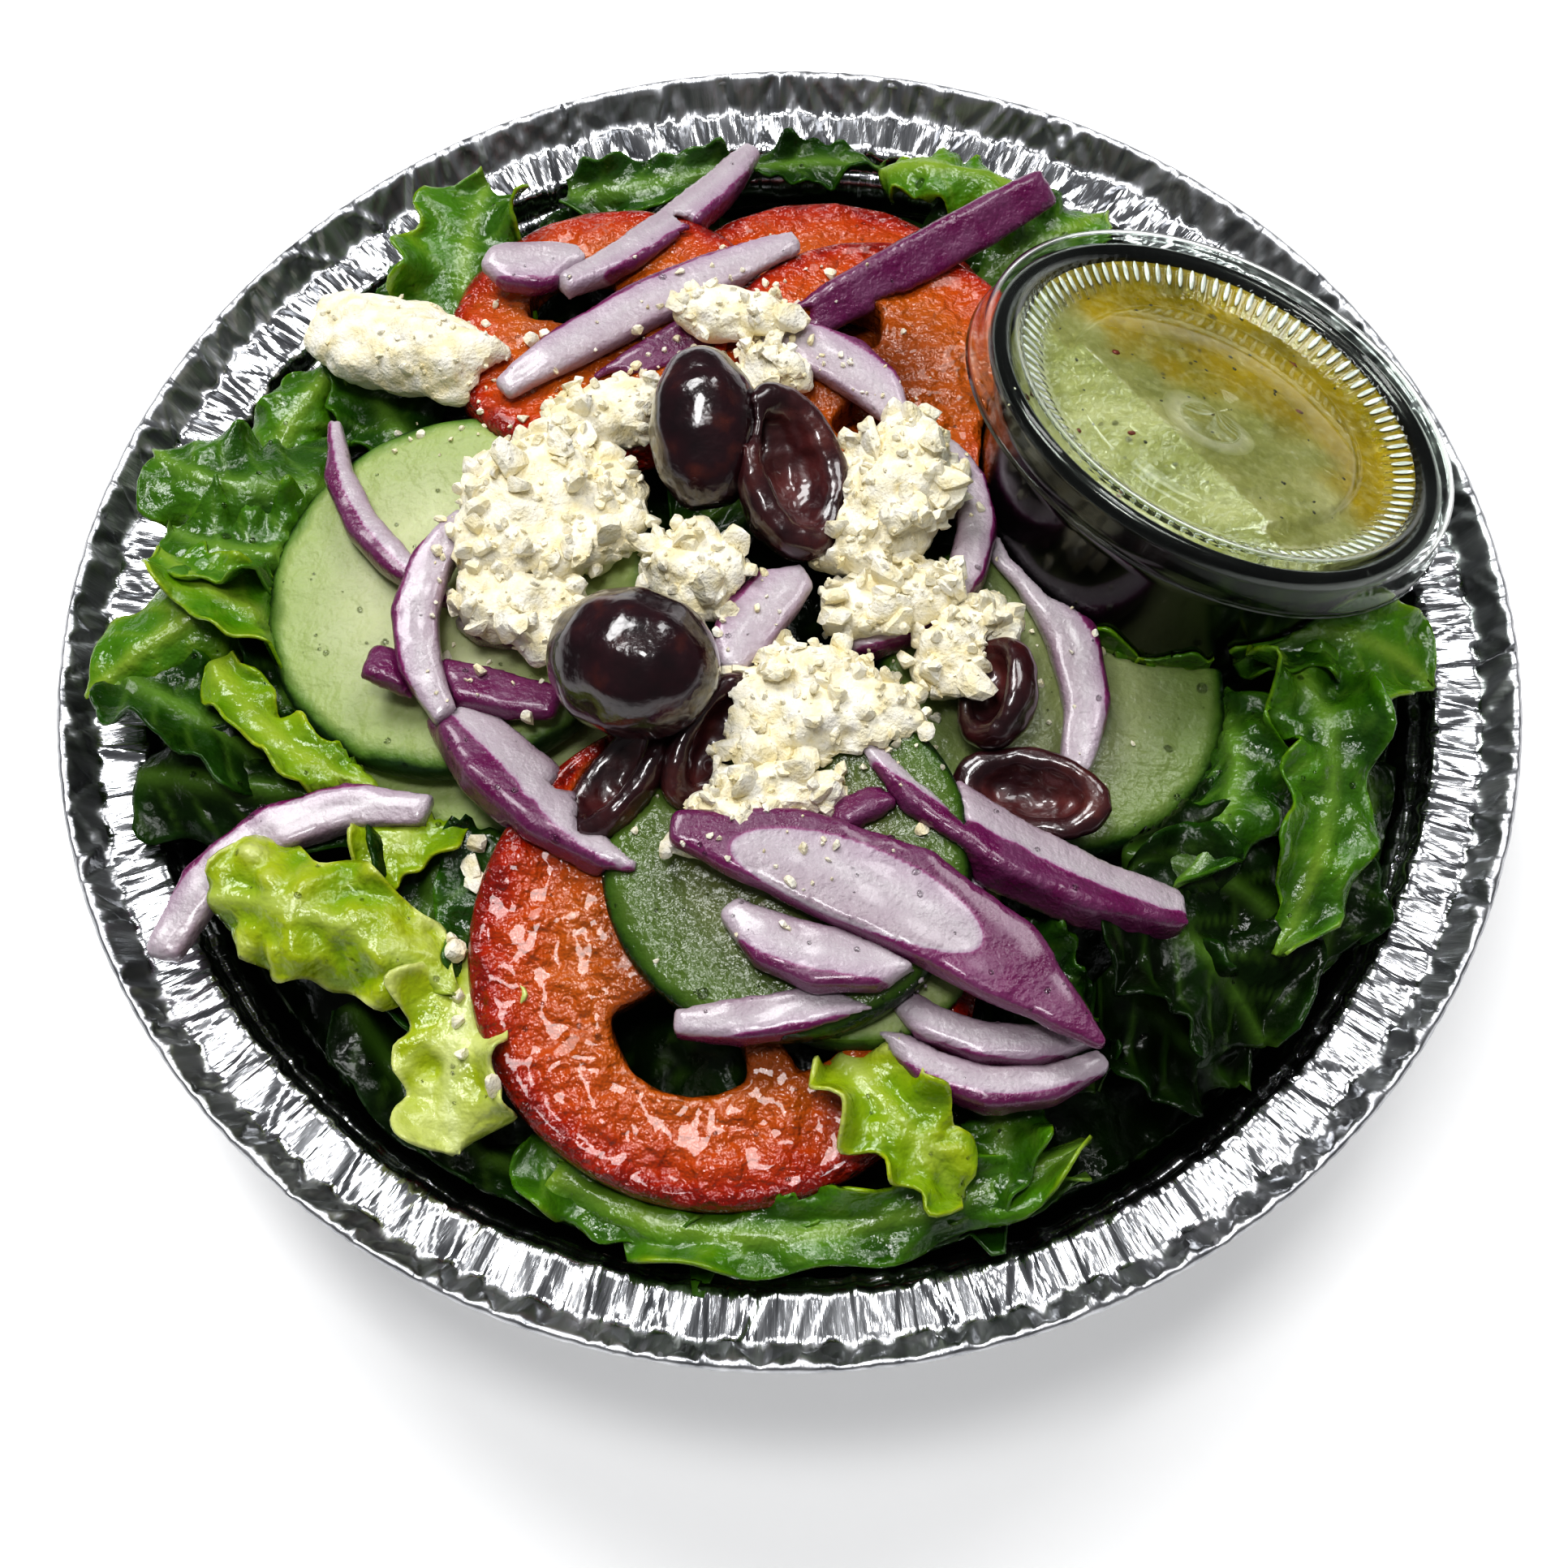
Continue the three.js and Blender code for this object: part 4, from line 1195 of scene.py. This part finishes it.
def leaf_sheet(spine, width, seed, roll, cup, ruffle, blister, tone, tip, over):
    """One leaf: a sheet along a curved rib, folded across it, ruffled at its edges and blistered between
    its veins. Returns its points, faces and masks."""
    rng = random.Random(seed)
    rows, columns = LEAF_GRID
    middle = along_curve(spine, rows)
    ahead = np.gradient(middle, axis=0)
    ahead /= np.linalg.norm(ahead, axis=1)[:, None]
    side = np.cross(ahead, (0, 0, 1))
    side /= np.linalg.norm(side, axis=1)[:, None]
    up = np.cross(side, ahead)
    lean = math.radians(roll)
    side, up = math.cos(lean) * side + math.sin(lean) * up, math.cos(lean) * up - math.sin(lean) * side
    v = np.linspace(0, 1, rows)[:, None]
    u = np.linspace(-1, 1, columns)[None, :]
    start = rng.uniform(0, 50)
    torn = np.array([noise.noise(Vector((start, 6 * t, 0))) for t in v[:, 0]])[:, None]
    torn2 = np.array([noise.noise(Vector((start + 9, 6 * t, 4))) for t in v[:, 0]])[:, None]
    outline = (1 - (1 - tip) * v**2.5) * smoothstep(v, -0.12, 0.14) * smoothstep(1 - v, -0.02, 0.16)
    half = width / 2 * outline * (1 + 0.35 * np.where(u > 0, torn, torn2))
    bend = cup * u
    across = half * np.where(np.abs(bend) > 1e-6, np.sin(bend) / (cup + 1e-9), u)
    lift = half * (1 - np.cos(bend)) / (abs(cup) + 1e-9) * np.sign(cup)
    phase = [rng.uniform(0, 6.3) for _ in range(4)]
    waves = (
        np.sin(2 * math.pi * 1.5 * v + phase[0] + 1.3 * u)
        + 0.7 * np.sin(2 * math.pi * 3.2 * v + phase[1] - 1.1 * u)
        + 0.25 * np.sin(2 * math.pi * 6.7 * v + phase[2] + phase[3] * u)
    )
    lift = lift + ruffle * np.abs(u) ** 2.2 * waves
    across = across + 0.3 * ruffle * np.abs(u) ** 2 * np.sin(2 * math.pi * 4.3 * v + phase[3])
    points = middle[:, None, :] + across[:, :, None] * side[:, None, :] + lift[:, :, None] * up[:, None, :]
    rib = np.exp(-((half * u / (0.9 + 0.7 * (1 - v))) ** 2))
    spacing = 5.5
    along = v * np.linalg.norm(middle[-1] - middle[0]) - np.abs(half * u) * 0.8
    branch = np.abs((along / spacing) % 1 - 0.5)
    veins = np.clip(1 - branch * spacing / 0.8, 0, 1) * smoothstep(np.abs(u), 1.0, 0.6)
    flat = points.reshape(-1, 3)
    swell = wander(flat, 0.2, seed) + 0.4 * wander(flat, 0.42, seed + 5)
    swell = blister * swell.reshape(rows, columns) * (1 - 0.8 * np.maximum(rib, veins))
    swell = swell + 0.7 * rib * (1 - 0.6 * v) + 0.12 * veins
    points = points + swell[:, :, None] * up[:, None, :]
    flat = points.reshape(-1, 3)
    if not over:
        flat = tuck_under(flat)
    flat = keep_in_pan(flat)
    thin_edge = 0.13 * smoothstep(np.abs(u) + 0 * v, 0.86, 1.0).reshape(-1)
    # Painted shade as well as the leaf's own tone: paler on the blisters and rib, darker in the hollows
    # between; thin edges paler.
    point_tone_and_shade = tone + 0.1 * wander(flat, 0.05, seed + 2) + 0.06 * swell.reshape(-1) + thin_edge
    faces = grid_faces(rows, columns, wrap_columns=False)
    return flat, faces, np.clip(point_tone_and_shade, 0, 1), np.maximum(rib, 0.55 * veins).reshape(-1)


def spot(degrees, radius, rise):
    """A place in the pan: its direction, its distance from the middle and its height over the rim."""
    turn = math.radians(degrees)
    return radius * math.cos(turn), radius * math.sin(turn), RIM_Z + rise


def leaf(*stops, width, roll=0, cup=0.5, ruffle=1.6, blister=0.9, tone=0.4, tip=0.5, over=False):
    """A leaf's rib through three places, its width, how it is turned, folded, ruffled and blistered, how
    pale it is (partly painted shade), how wide its tip is, and whether it lies over the toppings."""
    spine = [spot(*stop) for stop in stops]
    shape = dict(spine=spine, width=width, roll=roll, cup=cup, ruffle=ruffle, blister=blister)
    return dict(shape, tone=tone, tip=tip, over=over)


# The lowest tones, front right, at the back and between the toppings, are painted shade deep in the heap;
# the rest is the leaves' own colour.
LEAVES = [
    # back left
    leaf((134, 62, 2), (128, 71, 7), (121, 80, 7), width=19, cup=0.9, ruffle=2.2, tone=0.5, tip=0.8),
    leaf((138, 70, 0), (131, 77, 4), (124, 81, 4), width=11, roll=20, cup=-0.6, tone=0.42),
    leaf((160, 74, 0), (153, 74, 3), (145, 74, 3), width=13, roll=-10, cup=-0.9, tone=0.5, blister=0.5),
    # left
    leaf(
        (158, 62, 3), (164, 75, 7), (162, 88, 5),
        width=20, roll=8, cup=-0.7, ruffle=2.4, tone=0.46, tip=0.7,
    ),
    leaf(
        (167, 60, 3), (171, 72, 6), (169, 82, 4),
        width=17, roll=-12, cup=0.6, ruffle=2.4, tone=0.42, tip=0.7,
    ),
    leaf(
        (172, 66, 4), (179, 77, 6), (185, 90, 2),
        width=18, roll=10, cup=-1.1, ruffle=1.2, tone=0.6, blister=0.4,
    ),
    leaf(
        (181, 60, 4), (177, 73, 8), (172, 82, 6),
        width=14, roll=-20, cup=0.6, ruffle=0.9, tone=0.56, blister=0.3,
    ),
    leaf(
        (192, 84, 0), (198, 70, 4), (207, 52, 4),
        width=17, roll=-14, cup=-0.6, ruffle=1.6, tone=0.2, tip=0.8,
    ),
    leaf(
        (183, 86, 2), (189, 76, 4), (199, 64, 2),
        width=17, roll=15, cup=0.8, ruffle=1.8, tone=0.22, tip=0.8,
    ),
    leaf(
        (184, 73, 6), (196, 65, 7.5), (206, 54, 6),
        width=8, roll=14, cup=0.6, ruffle=1.6, tone=0.66, tip=0.7,
    ),
    # front left
    leaf(
        (208, 80, 6), (216, 70, 9), (231, 64, 5),
        width=16, roll=-16, cup=-0.7, ruffle=1.5, tone=0.74, blister=1.9, tip=0.8, over=True,
    ),
    leaf(
        (231, 58, 5), (235, 70, 4), (240, 79, 1),
        width=15, roll=-8, cup=0.7, ruffle=1.8, tone=0.88, tip=0.9, over=True,
    ),
    leaf(
        (206, 44, 6), (211, 55, 6), (213, 63, 5),
        width=13, roll=8, cup=0.6, ruffle=0.8, tone=0.78, blister=0.4,
    ),
    leaf((213, 50, 3), (222, 60, 1), (232, 68, -3), width=20, roll=5, cup=0.7, tone=0.24),
    leaf((221, 72, -4), (237, 75, -7), (252, 77, -7), width=13, roll=20, cup=-0.5, tone=0.14),
    # front
    leaf(
        (248, 75, -3), (270, 78, -1), (298, 76, 1),
        width=10, roll=-14, cup=0.5, ruffle=2.4, blister=1.3, tone=0.52, tip=0.8,
    ),
    leaf(
        (258, 77, -7), (276, 78, -6), (297, 78, -3),
        width=11, roll=-35, cup=0.6, ruffle=1.8, tone=0.34,
    ),
    leaf(
        (246, 70, -3), (252, 75, -3), (262, 76, -4),
        width=14, roll=-10, cup=0.6, ruffle=1.8, tone=0.4,
    ),
    leaf(
        (276, 58, 5), (281, 68, 7), (285, 77, 2),
        width=14, roll=6, cup=0.8, ruffle=2.2, tone=0.74, blister=1.3, tip=0.8, over=True,
    ),
    leaf((291, 66, 1), (290, 73, 1), (284, 79, -2), width=12, roll=-12, cup=0.6, ruffle=1.8, tone=0.44),
    # front right
    leaf((300, 44, 7), (302, 55, 7), (305, 64, 3), width=12, roll=10, cup=0.9, ruffle=2.2, tone=0.34),
    leaf(
        (316, 55, 8), (318, 67, 6), (317, 79, -2),
        width=24, roll=10, cup=0.5, ruffle=2.4, tone=0.08, tip=0.9, over=True,
    ),
    leaf((311, 60, 4), (312, 71, 0), (313, 79, -6), width=20, roll=-6, cup=0.6, ruffle=1.8, tone=0.06),
    leaf((322, 52, 6), (326, 64, 7), (326, 76, 0), width=17, roll=-14, cup=-0.6, ruffle=2.0, tone=0.06),
    # right
    leaf(
        (357, 60, 6), (343, 70, 9), (323, 74, 4),
        width=14, roll=18, cup=0.7, ruffle=3.2, blister=1.4, tone=0.48, tip=0.8,
    ),
    leaf(
        (349, 54, 5), (337, 60, 8), (321, 60, 8),
        width=15, roll=-20, cup=-0.8, ruffle=3.0, blister=1.3, tone=0.4,
    ),
    leaf(
        (357, 56, 5), (358, 70, 8), (355, 82, 3),
        width=14, roll=-8, cup=0.7, ruffle=1.8, tone=0.46, tip=0.8,
    ),
    leaf((3, 58, 2), (5, 68, 4), (2, 78, 2), width=13, roll=12, cup=0.5, ruffle=1.4, tone=0.3),
    leaf((345, 64, 2), (336, 74, 0), (326, 78, -5), width=16, roll=30, cup=0.5, ruffle=1.4, tone=0.2),
    leaf((4, 36, 5), (358, 45, 5), (354, 54, 4), width=10, roll=0, cup=0.7, ruffle=1.2, tone=0.5),
    leaf(
        (350, 74, -4), (340, 78, -6), (329, 79, -8),
        width=14, roll=40, cup=0.3, ruffle=1.0, tone=0.12,
    ),
    # back
    leaf((113, 78, 0), (104, 74, 3), (95, 77, 1), width=10, roll=-10, cup=0.8, ruffle=1.4, tone=0.34),
    leaf((80, 76, 1), (73, 76, 5), (65, 78, 2), width=11, roll=12, cup=-0.9, ruffle=1.8, tone=0.56),
    leaf((66, 60, 2), (60, 69, 5), (57, 80, 2), width=13, roll=-8, cup=0.8, ruffle=1.8, tone=0.48),
    leaf((96, 77, -2), (88, 78, -1), (80, 78, -1), width=9, roll=14, cup=0.6, tone=0.26),
    leaf((118, 70, -2), (108, 70, -3), (98, 70, -4), width=15, roll=5, cup=0.5, tone=0.2),
    leaf((74, 66, -2), (64, 68, -2), (52, 66, -4), width=16, roll=5, cup=0.5, tone=0.24),
    # between the toppings, dark as painted shade in the gaps
    leaf((150, 58, 3), (146, 66, 2), (140, 72, 0), width=16, roll=0, cup=0.5, tone=0.26),
    leaf((176, 56, 2), (186, 64, 2), (196, 70, 1), width=18, roll=0, cup=0.5, tone=0.2),
    leaf((218, 40, 6), (226, 52, 4), (236, 60, 2), width=16, roll=0, cup=0.5, tone=0.3),
    leaf((345, 40, 6), (335, 50, 4), (325, 58, 3), width=18, roll=0, cup=0.5, tone=0.2),
    leaf((296, 50, 4), (300, 60, 1), (302, 70, -3), width=18, roll=0, cup=0.5, tone=0.16),
    leaf((20, 30, 6), (30, 20, 6), (60, 16, 6), width=16, roll=0, cup=0.5, tone=0.26),
    leaf((96, 40, 2), (100, 26, 4), (140, 20, 5), width=20, roll=0, cup=0.5, tone=0.22),
]
LEAF_THICKNESS = 0.45


def sheet_normals(points, faces):
    """Each point's normal on an open sheet of quads."""
    corners = points[np.array(faces)]
    faces_out = np.cross(corners[:, 2] - corners[:, 0], corners[:, 3] - corners[:, 1])
    normals = np.zeros_like(points)
    for corner in range(4):
        np.add.at(normals, np.array(faces)[:, corner], faces_out)
    return normals / (np.linalg.norm(normals, axis=1)[:, None] + 1e-12)


def thick_sheet(points, faces, rows_edge, thickness):
    """An open sheet made into a thin closed one. rows_edge is its outline as a loop of points."""
    normals = sheet_normals(points, faces)
    count = len(points)
    both = np.concatenate((points + normals * thickness / 2, points - normals * thickness / 2))
    closed = [tuple(face) for face in faces]
    closed += [tuple(c + count for c in reversed(face)) for face in faces]
    for a, b in zip(rows_edge, rows_edge[1:] + rows_edge[:1]):
        closed.append((b, a, a + count, b + count))
    return both, closed


def outline_loop(rows, columns):
    """The outline of a grid of points, once round."""
    loop = list(range(columns))
    loop += [i * columns + columns - 1 for i in range(1, rows)]
    loop += [(rows - 1) * columns + j for j in range(columns - 2, -1, -1)]
    loop += [i * columns for i in range(rows - 2, 0, -1)]
    return loop


def make_leaves():
    """All the leaves, gathered by how dark they are; the darkest, in painted shade, take the duller copy of
    the leaf material.
    """
    names = ("dark_leaves", "green_leaves", "pale_leaves")
    heaps = {name: Heap() for name in names}
    for k, given in enumerate(LEAVES):
        points, faces, tone, vein = leaf_sheet(seed=k + 1, **given)
        both, closed = thick_sheet(points, faces, outline_loop(*LEAF_GRID), LEAF_THICKNESS)
        kind = names[0] if given["tone"] < 0.3 else names[1] if given["tone"] < 0.55 else names[2]
        heaps[kind].add(both, closed, tone=np.tile(tone, 2), vein=np.tile(vein, 2))
    for name, heap in heaps.items():
        heap.make(name, "lettuce", SHADED_LEAF if name == "dark_leaves" else LEAF)


def make_shaded_lettuce_core():
    """The heap under the loose leaves: a lower, darker copy of its solid, with packed leaves as relief. Its
    darkness is painted shade in the gaps.
    """
    points, normals, faces = softened("lettuce_bed", 1.8, 4)
    upward = smoothstep(normals[:, 2], 0.1, 0.6)
    crumple = 2.2 * wander(points, 0.09, 4) + 1.1 * wander(points, 0.23, 5)
    points[:, 2] += upward * (crumple - 5.0)
    points[:, :2] *= 1 - 0.02 * (1 - upward[:, None])
    points = keep_in_pan(tuck_under(points))
    # Painted shade: darker where the crumpled relief sinks.
    tone = np.clip(0.1 + 0.07 * crumple, 0, 0.4)
    vein = smoothstep(np.abs(wander(points, 0.12, 9)), 0.08, 0.0) * 0.5
    masks = {"tone": tone, "vein": vein}
    make_piece("lettuce_core_in_painted_shade", points, faces, SHADED_LEAF, ["lettuce_bed"], masks)


# ---- Loose crumbs and drops over everything ----


def scene_tree():
    """Every finished piece so far as one surface, in millimetres, for dropping things on."""
    points, faces, owners, count = [], [], [], 0
    for made in bpy.context.scene.objects:
        if made.type != "MESH" or made.hide_render or "lid" in made.name:
            continue
        owners += [made.name] * len(made.data.polygons)
        mesh = made.data
        held = np.empty(len(mesh.vertices) * 3)
        mesh.vertices.foreach_get("co", held)
        points.append(held.reshape(-1, 3) / MM)
        faces += [tuple(c + count for c in face.vertices) for face in mesh.polygons]
        count += len(mesh.vertices)
    return BVHTree.FromPolygons(np.concatenate(points).tolist(), faces), owners


def drop_on(surface, x, y):
    """Where something dropped at x, y comes to rest: the place, the way up there and the piece under it."""
    tree, owners = surface
    hit, normal, face, _ = tree.ray_cast(Vector((x, y, 150)), Vector((0, 0, -1)))
    return hit, normal, "" if hit is None else owners[face]


LOOSE_CRUMBS = 900  # dropped, of which the olives and steep places shed some


def make_loose_crumbs(surface):
    """Small crumbs of feta strewn between and beside the heaps."""
    rng = random.Random(23)
    heap = Heap()
    sources = [(np.array(a) + np.array(b)) / 2 / MM for a, b in (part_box(n) for n in NODES if "feta" in n)]
    for _ in range(LOOSE_CRUMBS):
        home = rng.choice(sources)
        x, y = home[0] + rng.gauss(0, 8), home[1] + rng.gauss(0, 7)
        hit, normal, under = drop_on(surface, x, y)
        if hit is None or math.hypot(x, y) > 62 or normal.z < 0.3 or "olive" in under:
            continue
        size = min(1.5, rng.lognormvariate(-0.8, 0.5))
        lump, faces = crumb(rng, size, CRUMB if size > 0.6 else GRIT)
        heap.add(np.array(hit) + np.array(normal) * size * 0.3 + lump, faces)
    slice_disc = Disc("tomato_front")
    for _ in range(9):  # a few stray crumbs down the left side of the front tomato
        turn, out = math.radians(rng.uniform(150, 215)), slice_disc.radius + rng.uniform(0.5, 4)
        x, y = slice_disc.middle[0] + out * math.cos(turn), slice_disc.middle[1] + out * math.sin(turn)
        hit, normal, _ = drop_on(surface, x, y)
        size = rng.uniform(0.8, 1.8)
        lump, faces = crumb(rng, size, CRUMB)
        heap.add(np.array(hit) + np.array(normal) * size * 0.4 + lump, faces)
    heap.make("loose_crumbs", "feta", FETA).data.set_sharp_from_angle(angle=BROKEN_EDGE)


DROPS = 420
WALL_BEADS = 46
BEAD_CLUSTERS = (293, 301, 309, 318, 324, 333, 341, 349)  # degrees round the pan


def make_drops(surface):
    """Drops of brine and oil standing on the toppings, the leaves and the foil."""
    rng = random.Random(31)
    heap = Heap()
    ball, faces = pebble(2)
    for _ in range(DROPS):
        out, turn = 78 * math.sqrt(rng.random()), rng.uniform(0, 2 * math.pi)
        hit, normal, under = drop_on(surface, out * math.cos(turn), out * math.sin(turn))
        if hit is None or normal.z < 0.45 or "feta" in under or "crumb" in under or "olive" in under:
            continue
        size = min(0.9, rng.lognormvariate(-1.3, 0.45))
        shape = ball * np.array((size, size * rng.uniform(0.7, 1), size * 0.45))
        heap.add(np.array(hit) + shape @ turn_to(normal, rng.uniform(0, 6.3)).T, faces)
    for _ in range(WALL_BEADS):  # in clusters along the wall's top, where the heap is low
        turn = math.radians(rng.choice(BEAD_CLUSTERS) + rng.gauss(0, 1.6))
        out = LEDGE_INNER - rng.uniform(-0.2, 1.6)
        hit, normal, _ = drop_on(surface, out * math.cos(turn), out * math.sin(turn))
        size = rng.uniform(0.25, 0.7)
        shape = ball * np.array((size, size, size * 0.6))
        heap.add(np.array(hit) + shape @ turn_to(normal, 0).T, faces)
    heap.make("brine_drops", "dressing", DROP)


# ---- Floor, light and camera ----


def make_floor():
    """A plain pale floor."""
    mesh = bpy.data.meshes.new("floor")
    half = 3.0
    corners = [(-half, -half, 0), (half, -half, 0), (half, half, 0), (-half, half, 0)]
    mesh.from_pydata(corners, [], [(0, 1, 2, 3)])
    material, tree, shader = new_material(
        "pale floor",
        Roughness=0.9,
        Specular_IOR_Level=0.1,
        Emission_Color=colour("ffffff"),
        Emission_Strength=0.3,
    )
    cloud = use_group(tree, MOTTLE, Scale=6.0)
    give(tree, shader, Base_Color=ramp(tree, cloud, [(0.0, "f6f6f6"), (1.0, "fbfbfb")]))
    mesh.materials.append(material)
    floor = bpy.data.objects.new("floor", mesh)
    bpy.context.scene.collection.objects.link(floor)


SOFTBOXES = {  # place, width and depth in metres, and power in watts
    "back_left_softbox": ((-0.38, 0.48, 1.0), (0.42, 0.42), 6.4),
    "back_right_softbox": ((0.42, 0.46, 1.0), (0.34, 0.42), 3.2),
    "overhead_softbox": ((-0.1, -0.12, 1.15), (0.26, 0.2), 3.4),
}
SALAD_MIDDLE = Vector((0, 0, 0.03))


def make_light(name, place, size, power):
    """A soft rectangular light, aimed at the salad."""
    data = bpy.data.lights.new(name, "AREA")
    data.shape = "RECTANGLE"
    data.size, data.size_y = size
    data.energy = power
    made = bpy.data.objects.new(name, data)
    made.location = place
    made.rotation_euler = (SALAD_MIDDLE - Vector(place)).to_track_quat("-Z", "Y").to_euler()
    bpy.context.scene.collection.objects.link(made)


def make_sky():
    """An even studio, brighter overhead than round the horizon, so that foil and wet food have contrast."""
    world = bpy.data.worlds.new("studio")
    world.use_nodes = True
    tree = world.node_tree
    place = put(tree, "TexCoord")
    height = put(tree, "SeparateXYZ", Vector=place.outputs["Generated"])
    shade = ramp(
        tree,
        height.outputs["Z"],
        [(0.0, "d4d4d6"), (0.1, "a2a3a6"), (0.35, "9c9da0"), (0.75, "b4b5b8"), (1.0, "cfd0d2")],
    )
    sky = tree.nodes["Background"]
    tree.links.new(shade, sky.inputs["Color"])
    sky.inputs["Strength"].default_value = 0.27
    bpy.context.scene.world = world


def make_camera():
    """The camera, in front of the pan and above it."""
    data = bpy.data.cameras.new("camera")
    data.lens = 66.9
    data.sensor_width = 36.0
    camera = bpy.data.objects.new("camera", data)
    rim = Vector((0, 0, RIM_Z * MM))
    pan = float(PAN_RADIUS) * MM
    camera.location = rim + pan * Vector((0, -1.888, 3.527))
    aim = rim + pan * Vector((-0.0072, -0.204, 0))
    level = (aim - camera.location).to_track_quat("-Z", "Y").to_matrix()
    camera.rotation_euler = (level @ Matrix.Rotation(math.radians(-0.35), 3, "Z")).to_euler()
    bpy.context.scene.collection.objects.link(camera)
    bpy.context.scene.camera = camera


make_pan()
make_cup()
make_lid()
make_lid_rib_highlights()
make_dressing()
make_dressing_specks()
for topping in TOPPINGS:
    MAKERS[topping.split("_")[0]](topping)
make_shaded_lettuce_core()
make_leaves()
surface = scene_tree()
make_loose_crumbs(surface)
make_drops(surface)

make_floor()
make_sky()
for softbox, (place, size, power) in SOFTBOXES.items():
    make_light(softbox, place, size, power)
make_camera()
display = bpy.context.scene.view_settings
display.view_transform = "Standard"
display.look = "Medium High Contrast"
